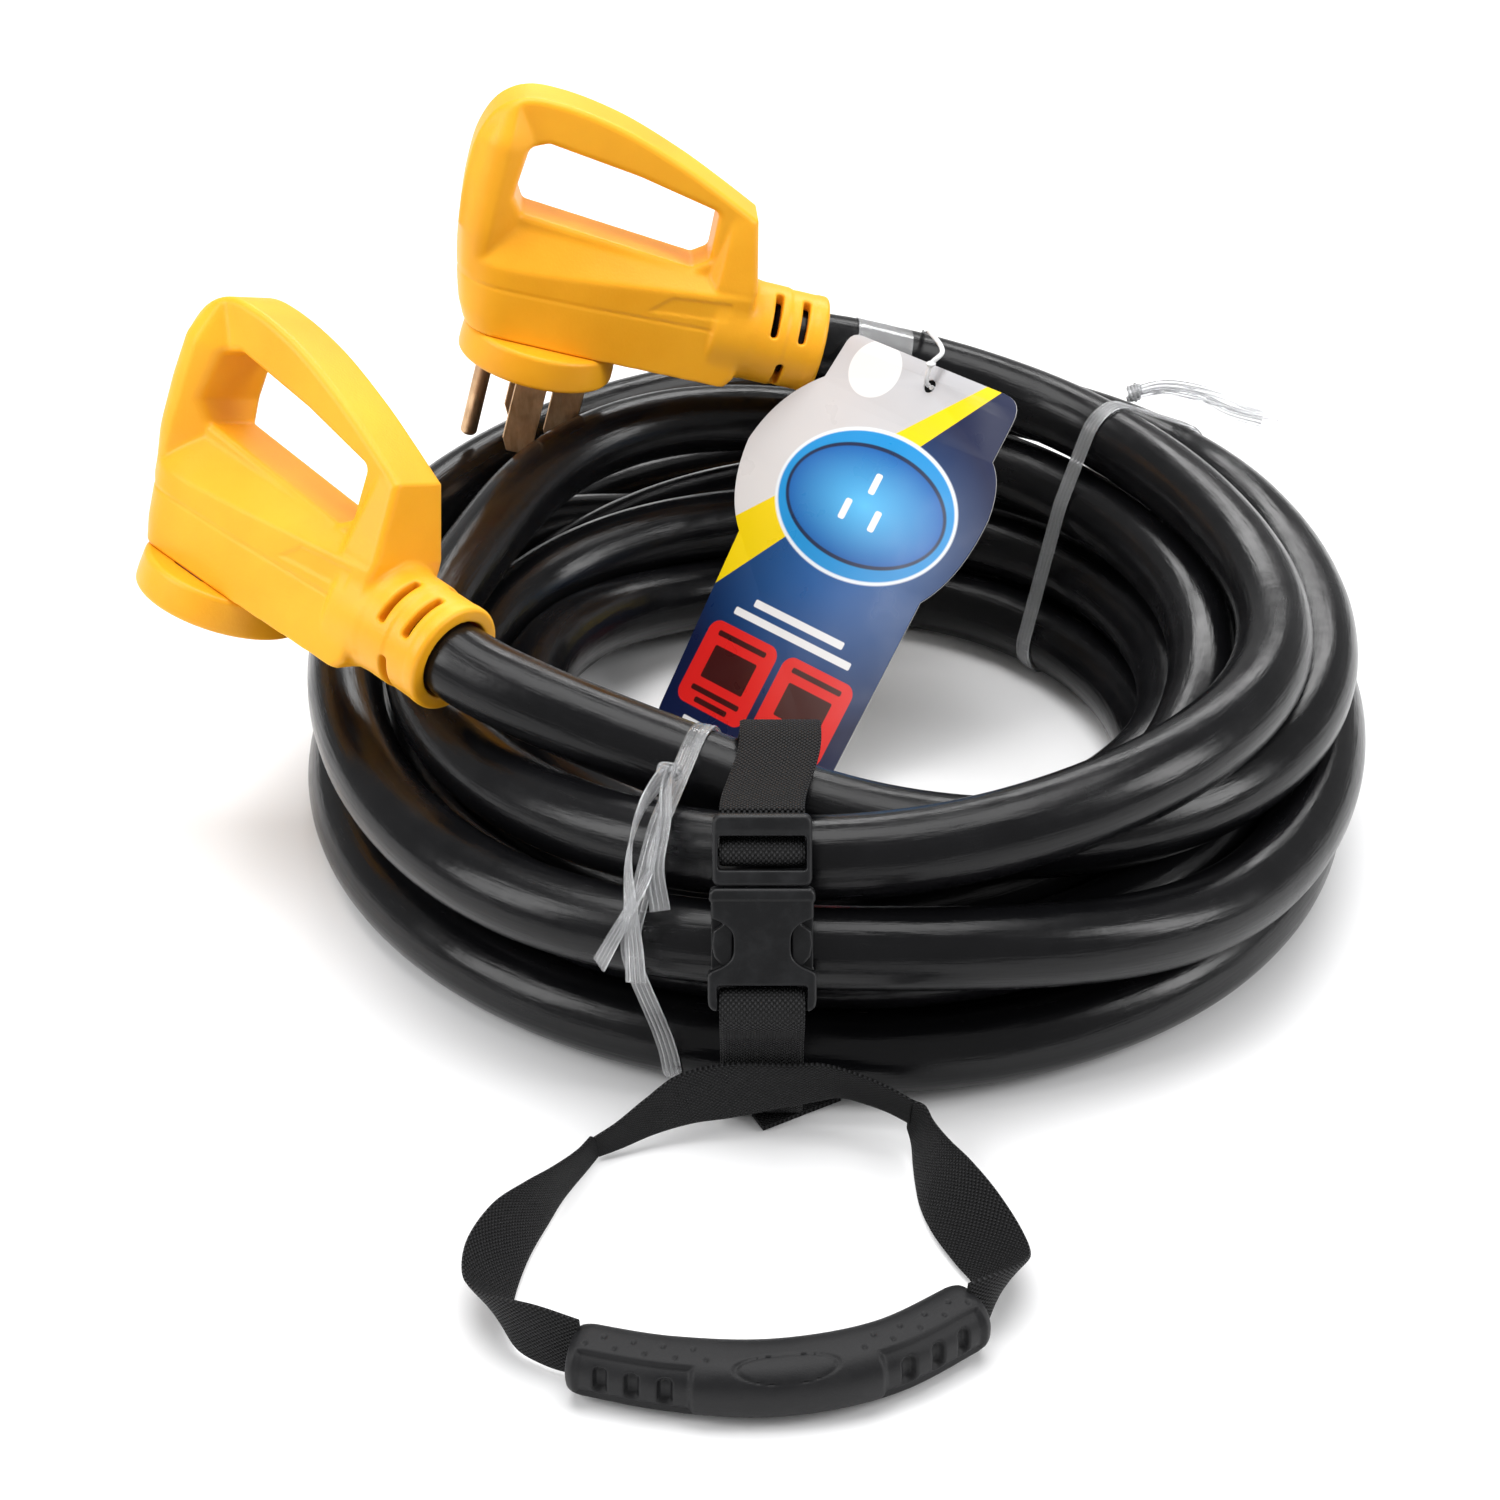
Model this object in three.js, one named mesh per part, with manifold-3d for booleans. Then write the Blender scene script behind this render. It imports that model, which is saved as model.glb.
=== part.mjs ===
// A 50 A shore power cord for a caravan or motor home, coiled for storage: a pin plug and a socket
// connector with handle loops, 9 m of thick cord in a coil, a buckled strap with a carry handle,
// two plastic ties and a hang tag. Millimetres, +Z up, the coil lying flat, the handle towards -Y.
import * as THREE from 'three';
import Module from 'manifold-3d';
import { mergeVertices } from 'three/addons/utils/BufferGeometryUtils.js';

const wasm = await Module();
wasm.setup();

// ---- driving dimensions ------------------------------------------------------------------------
const GAP = 0.3;                       // clearance between neighbouring solids
const CORD_D = 26.7;                   // four-core 50 A cord
const CORD_R = CORD_D / 2;

const COIL_IN = 112;                   // bare hole of the coil
const COIL_OUT = 199.5;
const COIL_TOP = 72;                   // three layers of cord, nested

const PLUG_AT = [-114, 119, 112];      // centre of the plug's face, and its turn about Z, Y and X
const PLUG_TURN = [2, 15.4, -4.5];
const CONNECTOR_AT = [-216, -27, 89.5];
const CONNECTOR_TURN = [-42, 8, -21.5];

const FACE_R = 30.5;                   // round face of both ends
const FACE_H = 13;
const BODY_HALF = 20.5;                // half the body's thickness
const LEG_HALF = 18;                   // half the thickness of the thick leg of the handle loop
const LOOP_HALF = 11.4;                // half the thickness of the handle bar
const BODY_END = 75;
const AXIS_Z = 33;                     // height of the cord's axis over the face
const RELIEF_R = 19.3;
const MOUTH_X = 106;
const BORE_R = CORD_R + 0.6;
const LEAD_IN = 20;                    // how far the cord enters the strain relief

const BLADE_W = 12.3;                  // 14-50 pattern: three flat blades and a round pin
const BLADE_T = 1.9;
const BLADE_L = 32;
const PIN_R = 2.95;
const PIN_L = 36;
const HOT_Y = 17;
const NEUTRAL_X = 16;
const GROUND_X = -18.5;
const TAIL_H = 17;                     // blades and contacts end this high inside the body

const STRAP_W = 26;
const STRAP_T = 1.6;
const STRAP_X = -26;
const BUCKLE_AT = [STRAP_X, -188.5, 85.4];
const BUCKLE_LEAN = -30.6;             // the buckle lies against the two outer turns
const BUCKLE_HALF = 15.1;
const BUCKLE_WALL = 1;
const BUCKLE_T = 9;
const TONGUE_H = 22;
const SOCKET_H = 38;

const TAG_W = 86;
const TAG_L = 167;
const TAG_T = 0.8;
const TAG_FOOT = [-66.5, 35.5, 0.5];   // lower left corner, standing on the floor in the coil
const TAG_ACROSS = [0.715, -0.7, 0];
const TAG_UP = [0.447, 0.476, 0.757];
const TAG_HOLE = [45, 159];

// ---- helpers -----------------------------------------------------------------------------------
const rad = THREE.MathUtils.degToRad;
const v2 = (x, y) => new THREE.Vector2(x, y);
const v3 = (x, y, z) => new THREE.Vector3(x, y, z);

function solid(geometry) {
  const bare = new THREE.BufferGeometry();
  bare.setAttribute('position', geometry.getAttribute('position'));
  if (geometry.index) bare.setIndex(geometry.index);
  const merged = mergeVertices(bare, 1e-3);
  const vertProperties = new Float32Array(merged.getAttribute('position').array);
  const triVerts = new Uint32Array(merged.index.array);
  const made = new wasm.Manifold(new wasm.Mesh({ numProp: 3, vertProperties, triVerts }));
  if (made.volume() > 0) return made;
  for (let i = 0; i < triVerts.length; i += 3) {
    [triVerts[i], triVerts[i + 1]] = [triVerts[i + 1], triVerts[i]];
  }
  return new wasm.Manifold(new wasm.Mesh({ numProp: 3, vertProperties, triVerts }));
}

function meshOf(name, shape, material) {
  const { vertProperties, triVerts } = shape.getMesh();
  const geometry = new THREE.BufferGeometry();
  geometry.setAttribute('position', new THREE.BufferAttribute(vertProperties, 3));
  geometry.setIndex(new THREE.BufferAttribute(triVerts, 1));
  geometry.computeVertexNormals();
  const mesh = new THREE.Mesh(geometry, material);
  mesh.name = name;
  return mesh;
}

function box(x0, x1, y0, y1, z0, z1) {
  const geometry = new THREE.BoxGeometry(x1 - x0, y1 - y0, z1 - z0);
  geometry.translate((x0 + x1) / 2, (y0 + y1) / 2, (z0 + z1) / 2);
  return solid(geometry);
}

// a cylinder or cone along x, y or z, starting at a point
function rod(axis, start, length, r0, r1 = r0, sides = 24) {
  const geometry = new THREE.CylinderGeometry(r1, r0, length, sides);
  geometry.translate(0, length / 2, 0);
  if (axis === 'x') geometry.rotateZ(-Math.PI / 2);
  if (axis === 'z') geometry.rotateX(Math.PI / 2);
  geometry.translate(...start);
  return solid(geometry);
}

// a side outline in x and z, given thickness from -half to +half along y, with softened edges
function slab(shape, half, bevel, curveSegments = 5) {
  const geometry = new THREE.ExtrudeGeometry(shape, {
    depth: 2 * (half - bevel), bevelEnabled: bevel > 0, bevelThickness: bevel, bevelSize: bevel,
    bevelOffset: -bevel, bevelSegments: 1, curveSegments,
  });
  geometry.translate(0, 0, -(half - bevel));
  geometry.rotateX(Math.PI / 2);
  return solid(geometry);
}

// a plan outline in x and y, raised from z0 to z1
function plate(shape, z0, z1, bevel = 0, curveSegments = 5) {
  const geometry = new THREE.ExtrudeGeometry(shape, {
    depth: z1 - z0 - 2 * bevel, bevelEnabled: bevel > 0, bevelThickness: bevel,
    bevelSize: bevel, bevelOffset: -bevel, bevelSegments: 1, curveSegments,
  });
  geometry.translate(0, 0, z0 + bevel);
  return solid(geometry);
}

function ellipse(rx, ry, sides) {
  const points = [];
  for (let i = 0; i < sides; i += 1) {
    const turn = (2 * Math.PI * i) / sides;
    points.push(v2(rx * Math.cos(turn), ry * Math.sin(turn)));
  }
  return new THREE.Shape(points);
}

function tube(points, radius, steps, sides = 10) {
  const path = new THREE.CatmullRomCurve3(points.map((p) => v3(...p)), false, 'centripetal');
  const geometry = new THREE.ExtrudeGeometry(ellipse(radius, radius, sides), {
    extrudePath: path, steps, bevelEnabled: false,
  });
  return solid(geometry);
}

// a band of the given thickness whose middle line is a plan or section outline, open or closed
function bandShape(points, thickness) {
  const half = thickness / 2;
  const left = [];
  const right = [];
  points.forEach((p, i) => {
    const before = points[Math.max(i - 1, 0)];
    const after = points[Math.min(i + 1, points.length - 1)];
    const along = v2(after[0] - before[0], after[1] - before[1]).normalize();
    left.push(v2(p[0] - along.y * half, p[1] + along.x * half));
    right.push(v2(p[0] + along.y * half, p[1] - along.x * half));
  });
  return new THREE.Shape([...left, ...right.reverse()]);
}

function smooth(points, count) {
  const curve = new THREE.CatmullRomCurve3(points.map((p) => v3(p[0], p[1], 0)), false, 'centripetal');
  return curve.getSpacedPoints(count).map((p) => [p.x, p.y]);
}

function turned(at, turn) {
  const group = new THREE.Group();
  group.position.set(...at);
  group.rotation.set(rad(turn[2]), rad(turn[1]), rad(turn[0]), 'ZYX');
  return group;
}

// ---- materials ---------------------------------------------------------------------------------
const finish = (color, roughness, metalness = 0) =>
  new THREE.MeshStandardMaterial({ color, roughness, metalness });
const yellowVinyl = finish(0xfdb819, 0.45);
const blackVinyl = finish(0x0b0b0c, 0.2);
const brass = finish(0xa9794b, 0.4, 1);
const copperTail = finish(0xb87a4a, 0.4, 1);
const blackPlastic = finish(0x17181a, 0.5);
const blackWebbing = finish(0x121214, 0.9);
const blackRubber = finish(0x151516, 0.65);
const clearVinyl = finish(0xdfe3e6, 0.25);
const printedCard = finish(0x1d4f86, 0.3);
const coreColours = {
  black: finish(0x101010, 0.5), red: finish(0xb3201c, 0.5),
  white: finish(0xe8e8e4, 0.5), green: finish(0x1d7a3a, 0.5),
};

// ---- the moulded grip shell that both ends share -----------------------------------------------
function loopOutline() {
  const shape = new THREE.Shape();
  shape.moveTo(-27, FACE_H + GAP);
  shape.lineTo(40, FACE_H + GAP);
  shape.lineTo(BODY_END, 17);
  shape.lineTo(BODY_END, 53);
  shape.lineTo(69, 79);
  shape.splineThru([v2(53, 86), v2(35, 93.5), v2(9.5, 101.5), v2(-14, 104.5)]);
  shape.splineThru([v2(-27, 103.5), v2(-36.5, 98), v2(-41.5, 86), v2(-42.5, 70), v2(-41, 50), v2(-35, 20)]);
  shape.lineTo(-31, FACE_H + GAP);
  const hole = new THREE.Path();
  hole.moveTo(-15, 59);
  hole.lineTo(48, 56);
  hole.quadraticCurveTo(55, 56, 54.5, 62);
  hole.lineTo(53.5, 76);
  hole.quadraticCurveTo(53, 79, 49, 80);
  hole.lineTo(-10, 89);
  hole.quadraticCurveTo(-18, 90, -20, 82);
  hole.lineTo(-20.5, 66);
  hole.quadraticCurveTo(-20, 60, -15, 59);
  shape.holes.push(hole);
  return shape;
}

function bodyPlan() {
  const shape = new THREE.Shape();
  shape.moveTo(BODY_END, -17);
  shape.lineTo(BODY_END, 17);
  shape.lineTo(15, BODY_HALF);
  shape.lineTo(-16, BODY_HALF);
  shape.absellipse(-16, 0, 20, BODY_HALF, Math.PI / 2, 1.5 * Math.PI, false);
  shape.lineTo(15, -BODY_HALF);
  return shape;
}

function legPlan() {
  const shape = new THREE.Shape();
  shape.absellipse(-30.5, 0, 12, LEG_HALF, 0, 2 * Math.PI, false);
  return shape;
}

function gripShell() {
  const loop = slab(loopOutline(), LOOP_HALF, 2.4);
  const lower = plate(bodyPlan(), FACE_H + GAP, 48, 3);
  const saddle = new THREE.Shape([v2(-20, 30), v2(70, 30), v2(70, 52), v2(50, 54.5), v2(-16, 57.5)]);
  const leg = plate(legPlan(), 30, 97, 5);
  const relief = rod('x', [BODY_END - 12, 0, AXIS_Z], MOUTH_X - BODY_END + 12, RELIEF_R + 0.5, RELIEF_R, 32);
  let shell = loop.add(lower).add(slab(saddle, 15, 2)).add(leg).add(relief);
  shell = shell.subtract(rod('x', [40, 0, AXIS_Z], MOUTH_X - 39, BORE_R, BORE_R, 32));
  shell = shell.subtract(box(-24, 54, -15.5, 15.5, FACE_H, 20));
  shell = shell.subtract(box(-8, 8, -18.6, 18.6, FACE_H, 20));
  shell = shell.subtract(box(-22, 58, -13.5, 13.5, 19, 47));
  // slots that let the strain relief bend: two and one in turn, a quarter turn apart
  for (let i = 0; i < 4; i += 1) {
    for (const x of i % 2 ? [91] : [86, 96]) {
      const cutter = new THREE.BoxGeometry(3, 18, 4.4);
      cutter.translate(x, 0, RELIEF_R);
      cutter.rotateX(rad(45 + 90 * i));
      cutter.translate(0, 0, AXIS_Z);
      shell = shell.subtract(solid(cutter));
    }
  }
  return shell;
}

// the round face block of each end: its rim is eased at the front
function faceDisc() {
  const rim = 1.6;
  return rod('z', [0, 0, 0], rim, FACE_R - rim, FACE_R, 40).add(
    rod('z', [0, 0, rim - 0.01], FACE_H - rim, FACE_R, FACE_R, 40),
  );
}

const POLES = [
  { name: 'hot_left', at: [0, -HOT_Y], core: 'black' },
  { name: 'hot_right', at: [0, HOT_Y], core: 'red' },
  { name: 'neutral', at: [NEUTRAL_X, 0], core: 'white' },
  { name: 'ground', at: [GROUND_X, 0], core: 'green' },
];

// four insulated cores run from the end of the jacket to the tails of the blades or contacts
function cores(prefix, group) {
  const spread = 6.2;
  const places = { black: [-spread, 0], red: [spread, 0], white: [0, -spread], green: [0, spread] };
  const start = MOUTH_X - LEAD_IN - GAP;
  for (const pole of POLES) {
    const [dy, dz] = places[pole.core];
    const [x, y] = pole.at;
    const reach = Math.sign(y) * Math.min(Math.abs(y), 9.5);
    const radius = pole.core === 'green' ? 2.4 : 3;
    const points = [
      [start, dy, AXIS_Z + dz], [start - 14, dy, AXIS_Z + dz], [x + 26, reach, AXIS_Z + dz],
      [x + 8, reach, AXIS_Z + dz - 1.5], [x, reach, 24.5], [x, reach, TAIL_H + GAP + 1.7],
    ];
    group.add(meshOf(`${prefix}_${pole.core}_conductor`, tube(points, radius, 14, 8), coreColours[pole.core]));
  }
}

function bladeSolid(x, y) {
  const shape = new THREE.Shape([
    v2(-BLADE_W / 2, TAIL_H), v2(-BLADE_W / 2, -BLADE_L + 5), v2(-BLADE_W / 2 + 2.6, -BLADE_L),
    v2(BLADE_W / 2 - 2.6, -BLADE_L), v2(BLADE_W / 2, -BLADE_L + 5), v2(BLADE_W / 2, TAIL_H),
  ]);
  return slab(shape, BLADE_T / 2, 0.3).translate(x, y, 0);
}

function makePlug() {
  const plug = turned(PLUG_AT, PLUG_TURN);
  plug.add(meshOf('plug_shell', gripShell(), yellowVinyl));
  let block = faceDisc();
  for (const pole of POLES) {
    const [x, y] = pole.at;
    if (pole.name === 'ground') {
      const shank = rod('z', [x, y, -PIN_L + 4], PIN_L - 4 + TAIL_H, PIN_R, PIN_R, 20);
      const tip = rod('z', [x, y, -PIN_L], 4.01, 1.5, PIN_R, 20);
      plug.add(meshOf('plug_ground_pin', shank.add(tip), brass));
      block = block.subtract(rod('z', [x, y, -1], FACE_H + 2, PIN_R + GAP, PIN_R + GAP, 20));
    } else {
      plug.add(meshOf(`plug_${pole.name}_blade`, bladeSolid(x, y), brass));
      const half = [BLADE_W / 2 + GAP, BLADE_T / 2 + GAP];
      block = block.subtract(box(x - half[0], x + half[0], y - half[1], y + half[1], -1, FACE_H + 1));
    }
  }
  plug.add(meshOf('plug_face_block', block, yellowVinyl));
  cores('plug', plug);
  return plug;
}

function makeConnector() {
  const connector = turned(CONNECTOR_AT, CONNECTOR_TURN);
  connector.add(meshOf('connector_shell', gripShell(), yellowVinyl));
  const lip = 4;                       // thickness of the face in front of the contacts
  const leaf = 1;
  const mouth = 1.3;                   // half the opening between the leaves
  let block = faceDisc();
  for (const pole of POLES) {
    const [x, y] = pole.at;
    if (pole.name === 'ground') {
      block = block.subtract(rod('z', [x, y, -1], FACE_H + 2, 3.6, 3.6, 20));
      block = block.subtract(rod('z', [x, y, lip], FACE_H, 4.8, 4.8, 20));
      const sleeve = rod('z', [x, y, lip + GAP], TAIL_H - lip - GAP, 4.4, 4.4, 20);
      const bore = rod('z', [x, y, lip], 10, 3.3, 3.3, 20);
      connector.add(meshOf('connector_ground_contact', sleeve.subtract(bore), copperTail));
    } else {
      block = block.subtract(box(x - 6.7, x + 6.7, y - 1.4, y + 1.4, -1, FACE_H + 1));
      block = block.subtract(box(x - 7, x + 7, y - 2.7, y + 2.7, lip, FACE_H + 1));
      const clip = box(x - 6.2, x + 6.2, y - mouth - leaf, y + mouth + leaf, lip + GAP, FACE_H);
      const throat = box(x - 7, x + 7, y - mouth, y + mouth, lip, FACE_H - leaf);
      const tailAt = y - Math.sign(y) * mouth;
      const tail = box(x - 4, x + 4, tailAt - leaf, tailAt + leaf, FACE_H - leaf, TAIL_H);
      connector.add(meshOf(`connector_${pole.name}_contact`, clip.subtract(throat).add(tail), copperTail));
    }
  }
  connector.add(meshOf('connector_face_block', block, yellowVinyl));
  cores('connector', connector);
  return connector;
}

// ---- the cord ----------------------------------------------------------------------------------
// both loose ends of the cord, from inside the strain relief to where they join the coil
const PLUG_LEAD = [
  [-22.5, 124.4, 120.8], [-3.2, 125, 115.5], [31, 126.1, 106.1], [66, 125.5, 98], [92, 111, 93.5],
  [116, 82, 90.5], [136, 42, 89], [149, 0, 88], [151, -50, 88], [139, -89, 88], [117, -120, 87.5],
  [82, -147, 87], [48, -163, 86.5], [16, -171, 86], [-26, -171, 86], [-58, -161, 86], [-84, -146, 86],
];
const CONNECTOR_LEAD = [
  [-141.4, -77.9, 107.8], [-126.7, -91.2, 105], [-112, -101, 101.5], [-92, -110, 96.5], [-66, -121, 90.5],
  [-46, -128.5, 88], [-23, -135, 86.5], [4, -139, 86], [22, -138.5, 86], [40, -134, 86],
];

function makeCord(assembly) {
  const profile = [
    [COIL_IN, 6], [COIL_IN + 6, 0], [COIL_OUT - 9, 0], [COIL_OUT, 9], [COIL_OUT, 60],
    [COIL_OUT - 8, COIL_TOP], [COIL_IN + 5, COIL_TOP], [COIL_IN, COIL_TOP - 6], [COIL_IN, 6],
  ];
  const ring = new THREE.LatheGeometry(profile.map((p) => v2(...p)), 60);
  ring.rotateX(Math.PI / 2);
  let coil = solid(ring);
  const groove = STRAP_T + 2 * GAP;
  coil = coil.subtract(box(STRAP_X - 14, STRAP_X + 14, -COIL_OUT - 5, -COIL_IN + 15, -1, groove));
  for (const tie of TIES) {
    const cut = new THREE.BoxGeometry(COIL_OUT, TIE_W + 2, 2 * groove);
    cut.translate(COIL_IN - 10 + COIL_OUT / 2, 0, 0);
    cut.rotateZ(rad(tie.turn));
    coil = coil.subtract(solid(cut));
  }
  assembly.add(meshOf('cord_coil', coil, blackVinyl));
  assembly.add(meshOf('cord_plug_lead', tube(PLUG_LEAD, CORD_R, 22, 12), blackVinyl));
  assembly.add(meshOf('cord_connector_lead', tube(CONNECTOR_LEAD, CORD_R, 12, 12), blackVinyl));

  const wrap = new THREE.Group();
  wrap.position.set(9, 125.5, 112.1);
  wrap.rotation.set(0, rad(15.6), rad(2), 'ZYX');
  const sleeve = rod('x', [0, 0, 0], 22, CORD_R + 1.1, CORD_R + 1.1, 32)
    .subtract(rod('x', [-1, 0, 0], 24, CORD_R + 0.7, CORD_R + 0.7, 32));
  wrap.add(meshOf('cord_wrap_band', sleeve, clearVinyl));
  assembly.add(wrap);
}

// ---- plastic ties around the bundle ------------------------------------------------------------
const TIE_W = 5;
const TIE_T = 1.2;
const TIES = [
  {
    name: 'tie_front', turn: -112,
    crown: [[113, 84], [121, 95], [128, 102], [137, 104], [169, 102], [180, 98.5], [185, 90]],
    knot: [181, 99],
  },
  {
    name: 'tie_back', turn: 40,
    crown: [[113, 84], [127, 99], [134, 105], [143, 107], [152, 105], [188, 83]],
    knot: [176, 91.5],
  },
];

// the loop hugs the bundle in its own upright plane, r outwards and z up; the two ends are
// twisted together in a knot on top of the outermost turn and hang down outside it
function makeTies(assembly) {
  const low = TIE_T / 2;
  const inner = COIL_IN - 1.2;
  const outer = COIL_OUT + 1.4;
  for (const tie of TIES) {
    const line = [
      [inner + 4, low], [inner, 4.5], [inner, COIL_TOP], ...tie.crown,
      [outer, 61], [outer, 8], [outer - 7, low], [inner + 5, low],
    ];
    const [r, z] = tie.knot;
    const knot = new THREE.Shape([v2(r - 2, z - 2), v2(r + 5, z - 4), v2(r + 9, z + 4), v2(r + 2, z + 5)]);
    const tails = new THREE.Shape([
      v2(r + 6, z + 4), v2(r + 21, z - 12), v2(r + 27, z - 34),
      v2(r + 25.6, z - 34), v2(r + 19.6, z - 13), v2(r + 4.8, z + 2.4),
    ]);
    const strip = slab(bandShape(line, TIE_T), TIE_W / 2, 0);
    const holder = new THREE.Group();
    holder.rotation.z = rad(tie.turn);
    holder.add(meshOf(tie.name, strip.add(slab(knot, 4, 1)).add(slab(tails, TIE_W, 0)), clearVinyl));
    assembly.add(holder);
  }
}

// ---- strap, buckle and carry handle ------------------------------------------------------------
// the strap's section line in y and z: from the buckle socket down, under the coil, up inside it
// and over the two top turns to the buckle tongue
const STRAP_RUN = [
  [-205.8, 47.4], [-203.6, 43], [-202.4, 34], [-201.8, 20], [-201, 8.6], [-196.6, 2], [-186, 1],
  [-150, 1], [-118, 1], [-106, 1.6], [-100.8, 8], [-100.2, 30], [-101, 70], [-107.5, 82],
  [-114.5, 93], [-122, 101], [-131, 103], [-142, 102.6], [-158, 102.6], [-168, 103.6], [-177, 104.8],
];
const TAIL_CORNER = [[-17, -206.5], [-4.6, -194.6], [-12.4, -194.4], [-12.4, -198.8], [-23.5, -198.8]];
// the loop through the buckle tongue: behind its top bar, round its crossbar and back in, in the
// buckle's own y and z
const TONGUE_LOOP = [
  [-1.7, 21.5], [-1.7, 17], [-2.4, 14.4], [-4.6, 13], [-6.6, 12.4], [-7.5, 10.3], [-6.8, 8], [-5, 7],
  [-3.4, 6.6],
];

function stripAcross(name, line, count, x) {
  const shape = bandShape(smooth(line, count), STRAP_T);
  const geometry = new THREE.ExtrudeGeometry(shape, { depth: STRAP_W, bevelEnabled: false });
  geometry.rotateX(Math.PI / 2);
  geometry.rotateZ(Math.PI / 2);
  geometry.translate(x - STRAP_W / 2, 0, 0);
  return meshOf(name, solid(geometry), blackWebbing);
}

function makeBuckle(assembly) {
  const buckle = turned(BUCKLE_AT, [0, 0, BUCKLE_LEAN]);
  const half = BUCKLE_HALF;
  const wide = half + BUCKLE_WALL;
  const front = -BUCKLE_T;

  // socket: open at the top, prong windows in both sides, a bar for the strap at the bottom
  let socket = box(-wide, wide, front, -0.6, -SOCKET_H, -GAP);
  socket = socket.subtract(box(-half - GAP, half + GAP, front + 1.6, -2.2, -27, 1));
  for (const side of [-1, 1]) {
    const edges = [side * 10.5, side * (wide + 1)].sort((a, b) => a - b);
    socket = socket.subtract(box(...edges, front - 1, -2.2, -26, -11));
  }
  socket = socket.subtract(box(-13.6, 13.6, front - 1, 1, -34.5, -30));
  buckle.add(meshOf('buckle_socket', socket, blackPlastic));

  // tongue: a frame round a window with a sunk crossbar, its top bar thinned behind for the strap,
  // and a guide blade that goes into the socket
  const slot = 13.4;
  let tongue = box(-half, half, front, -0.6, 0, TONGUE_H);
  tongue = tongue.subtract(box(-slot, slot, front - 1, 1, 5, 15.4));
  tongue = tongue.subtract(box(-slot, slot, -2.9, 1, 15, TONGUE_H + 1));
  tongue = tongue.add(box(-slot - 1, slot + 1, -6, -3.4, 9, 11.4));
  tongue = tongue.add(box(-5, 5, front + 1.9, -2.5, -22, 0.01));
  buckle.add(meshOf('buckle_tongue', tongue, blackPlastic));

  for (const [name, side] of [['buckle_prong_left', -1], ['buckle_prong_right', 1]]) {
    const outline = [[8.2, -0.5], [11.6, -0.5], [12, -11.5], [half, -14], [half, -21], [11.4, -25.2], [8.8, -24]];
    const points = outline.map(([x, z]) => v2(side * x, z));
    const prong = slab(new THREE.Shape(points), (BUCKLE_T - 4.4) / 2, 0.4).translate(0, front / 2 - 0.3, 0);
    buckle.add(meshOf(name, prong, blackPlastic));
  }
  buckle.add(stripAcross('strap_tongue_loop', TONGUE_LOOP, 22, 0));
  assembly.add(buckle);
}

const GRIP_LINE = [[-80, -311], [-52, -317.5], [-22, -319], [8, -311.5], [35, -294]];
const WEB_LEFT = [[-81.2, -219], [-92, -230], [-103, -246], [-109.5, -264], [-109, -284], [-100, -301], [-84.5, -310.4]];
const WEB_RIGHT = [[21, -212.7], [28, -221], [38, -238], [49, -260], [52, -276], [46, -288], [38.5, -291.6]];
const BAND_LINE = [[-79, -217.6], [-66, -209.5], [-45, -205.8], [-25, -205], [-5, -205.4], [8, -207.4], [19, -211.4]];
const WEB_T = 2.4;
const WEB_H = 24;
const BAND_Z = 2.2;                    // the band's lower edge clears the strap's loose end
const GRIP_R = 8.6;

function standingStrip(name, line, z0, z1, count) {
  return meshOf(name, plate(bandShape(smooth(line, count), WEB_T), z0, z1), blackWebbing);
}

function makeHandle(assembly) {
  const path = new THREE.CatmullRomCurve3(GRIP_LINE.map(([x, y]) => v3(x, y, GRIP_R + 1.2)));
  const section = ellipse(GRIP_R + 1, GRIP_R, 14);
  const bar = new THREE.ExtrudeGeometry(section, { extrudePath: path, steps: 16, bevelEnabled: false });
  assembly.add(meshOf('handle_grip', solid(bar), blackRubber));
  assembly.add(standingStrip('handle_webbing_left', WEB_LEFT, 0.2, WEB_H, 16));
  assembly.add(standingStrip('handle_webbing_right', WEB_RIGHT, 0.2, WEB_H, 16));
  assembly.add(standingStrip('handle_band', BAND_LINE, BAND_Z, BAND_Z + WEB_H, 14));
}

function makeStrap(assembly) {
  assembly.add(stripAcross('strap_run', STRAP_RUN, 46, STRAP_X));
  // the strap's loose end: its cut corner shows on the floor under the band
  const corner = new THREE.Shape(TAIL_CORNER.map((p) => v2(...p)));
  assembly.add(meshOf('strap_tail', plate(corner, 0, STRAP_T), blackWebbing));
}

// ---- hang tag ----------------------------------------------------------------------------------
function tagOutline() {
  const shape = new THREE.Shape();
  shape.moveTo(6, 0);
  shape.lineTo(TAG_W - 6, 0);
  shape.quadraticCurveTo(TAG_W, 0, TAG_W, 6);
  shape.lineTo(TAG_W, 84);
  shape.quadraticCurveTo(TAG_W + 11, 98, TAG_W + 10, 122);
  shape.quadraticCurveTo(TAG_W + 8, 136, TAG_W, 142);
  shape.lineTo(TAG_W, TAG_L - 9);
  shape.quadraticCurveTo(TAG_W, TAG_L, TAG_W - 9, TAG_L);
  shape.lineTo(6, TAG_L);
  shape.quadraticCurveTo(0, TAG_L, 0, TAG_L - 6);
  shape.lineTo(-1.5, 147);
  shape.quadraticCurveTo(-18, 134, -21, 113);
  shape.quadraticCurveTo(-19, 91, -4.4, 79);
  shape.lineTo(0, 6);
  shape.quadraticCurveTo(0, 0, 6, 0);
  const hole = new THREE.Path();
  hole.absarc(...TAG_HOLE, 2.6, 0, 2 * Math.PI, true);
  shape.holes.push(hole);
  return shape;
}

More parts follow.
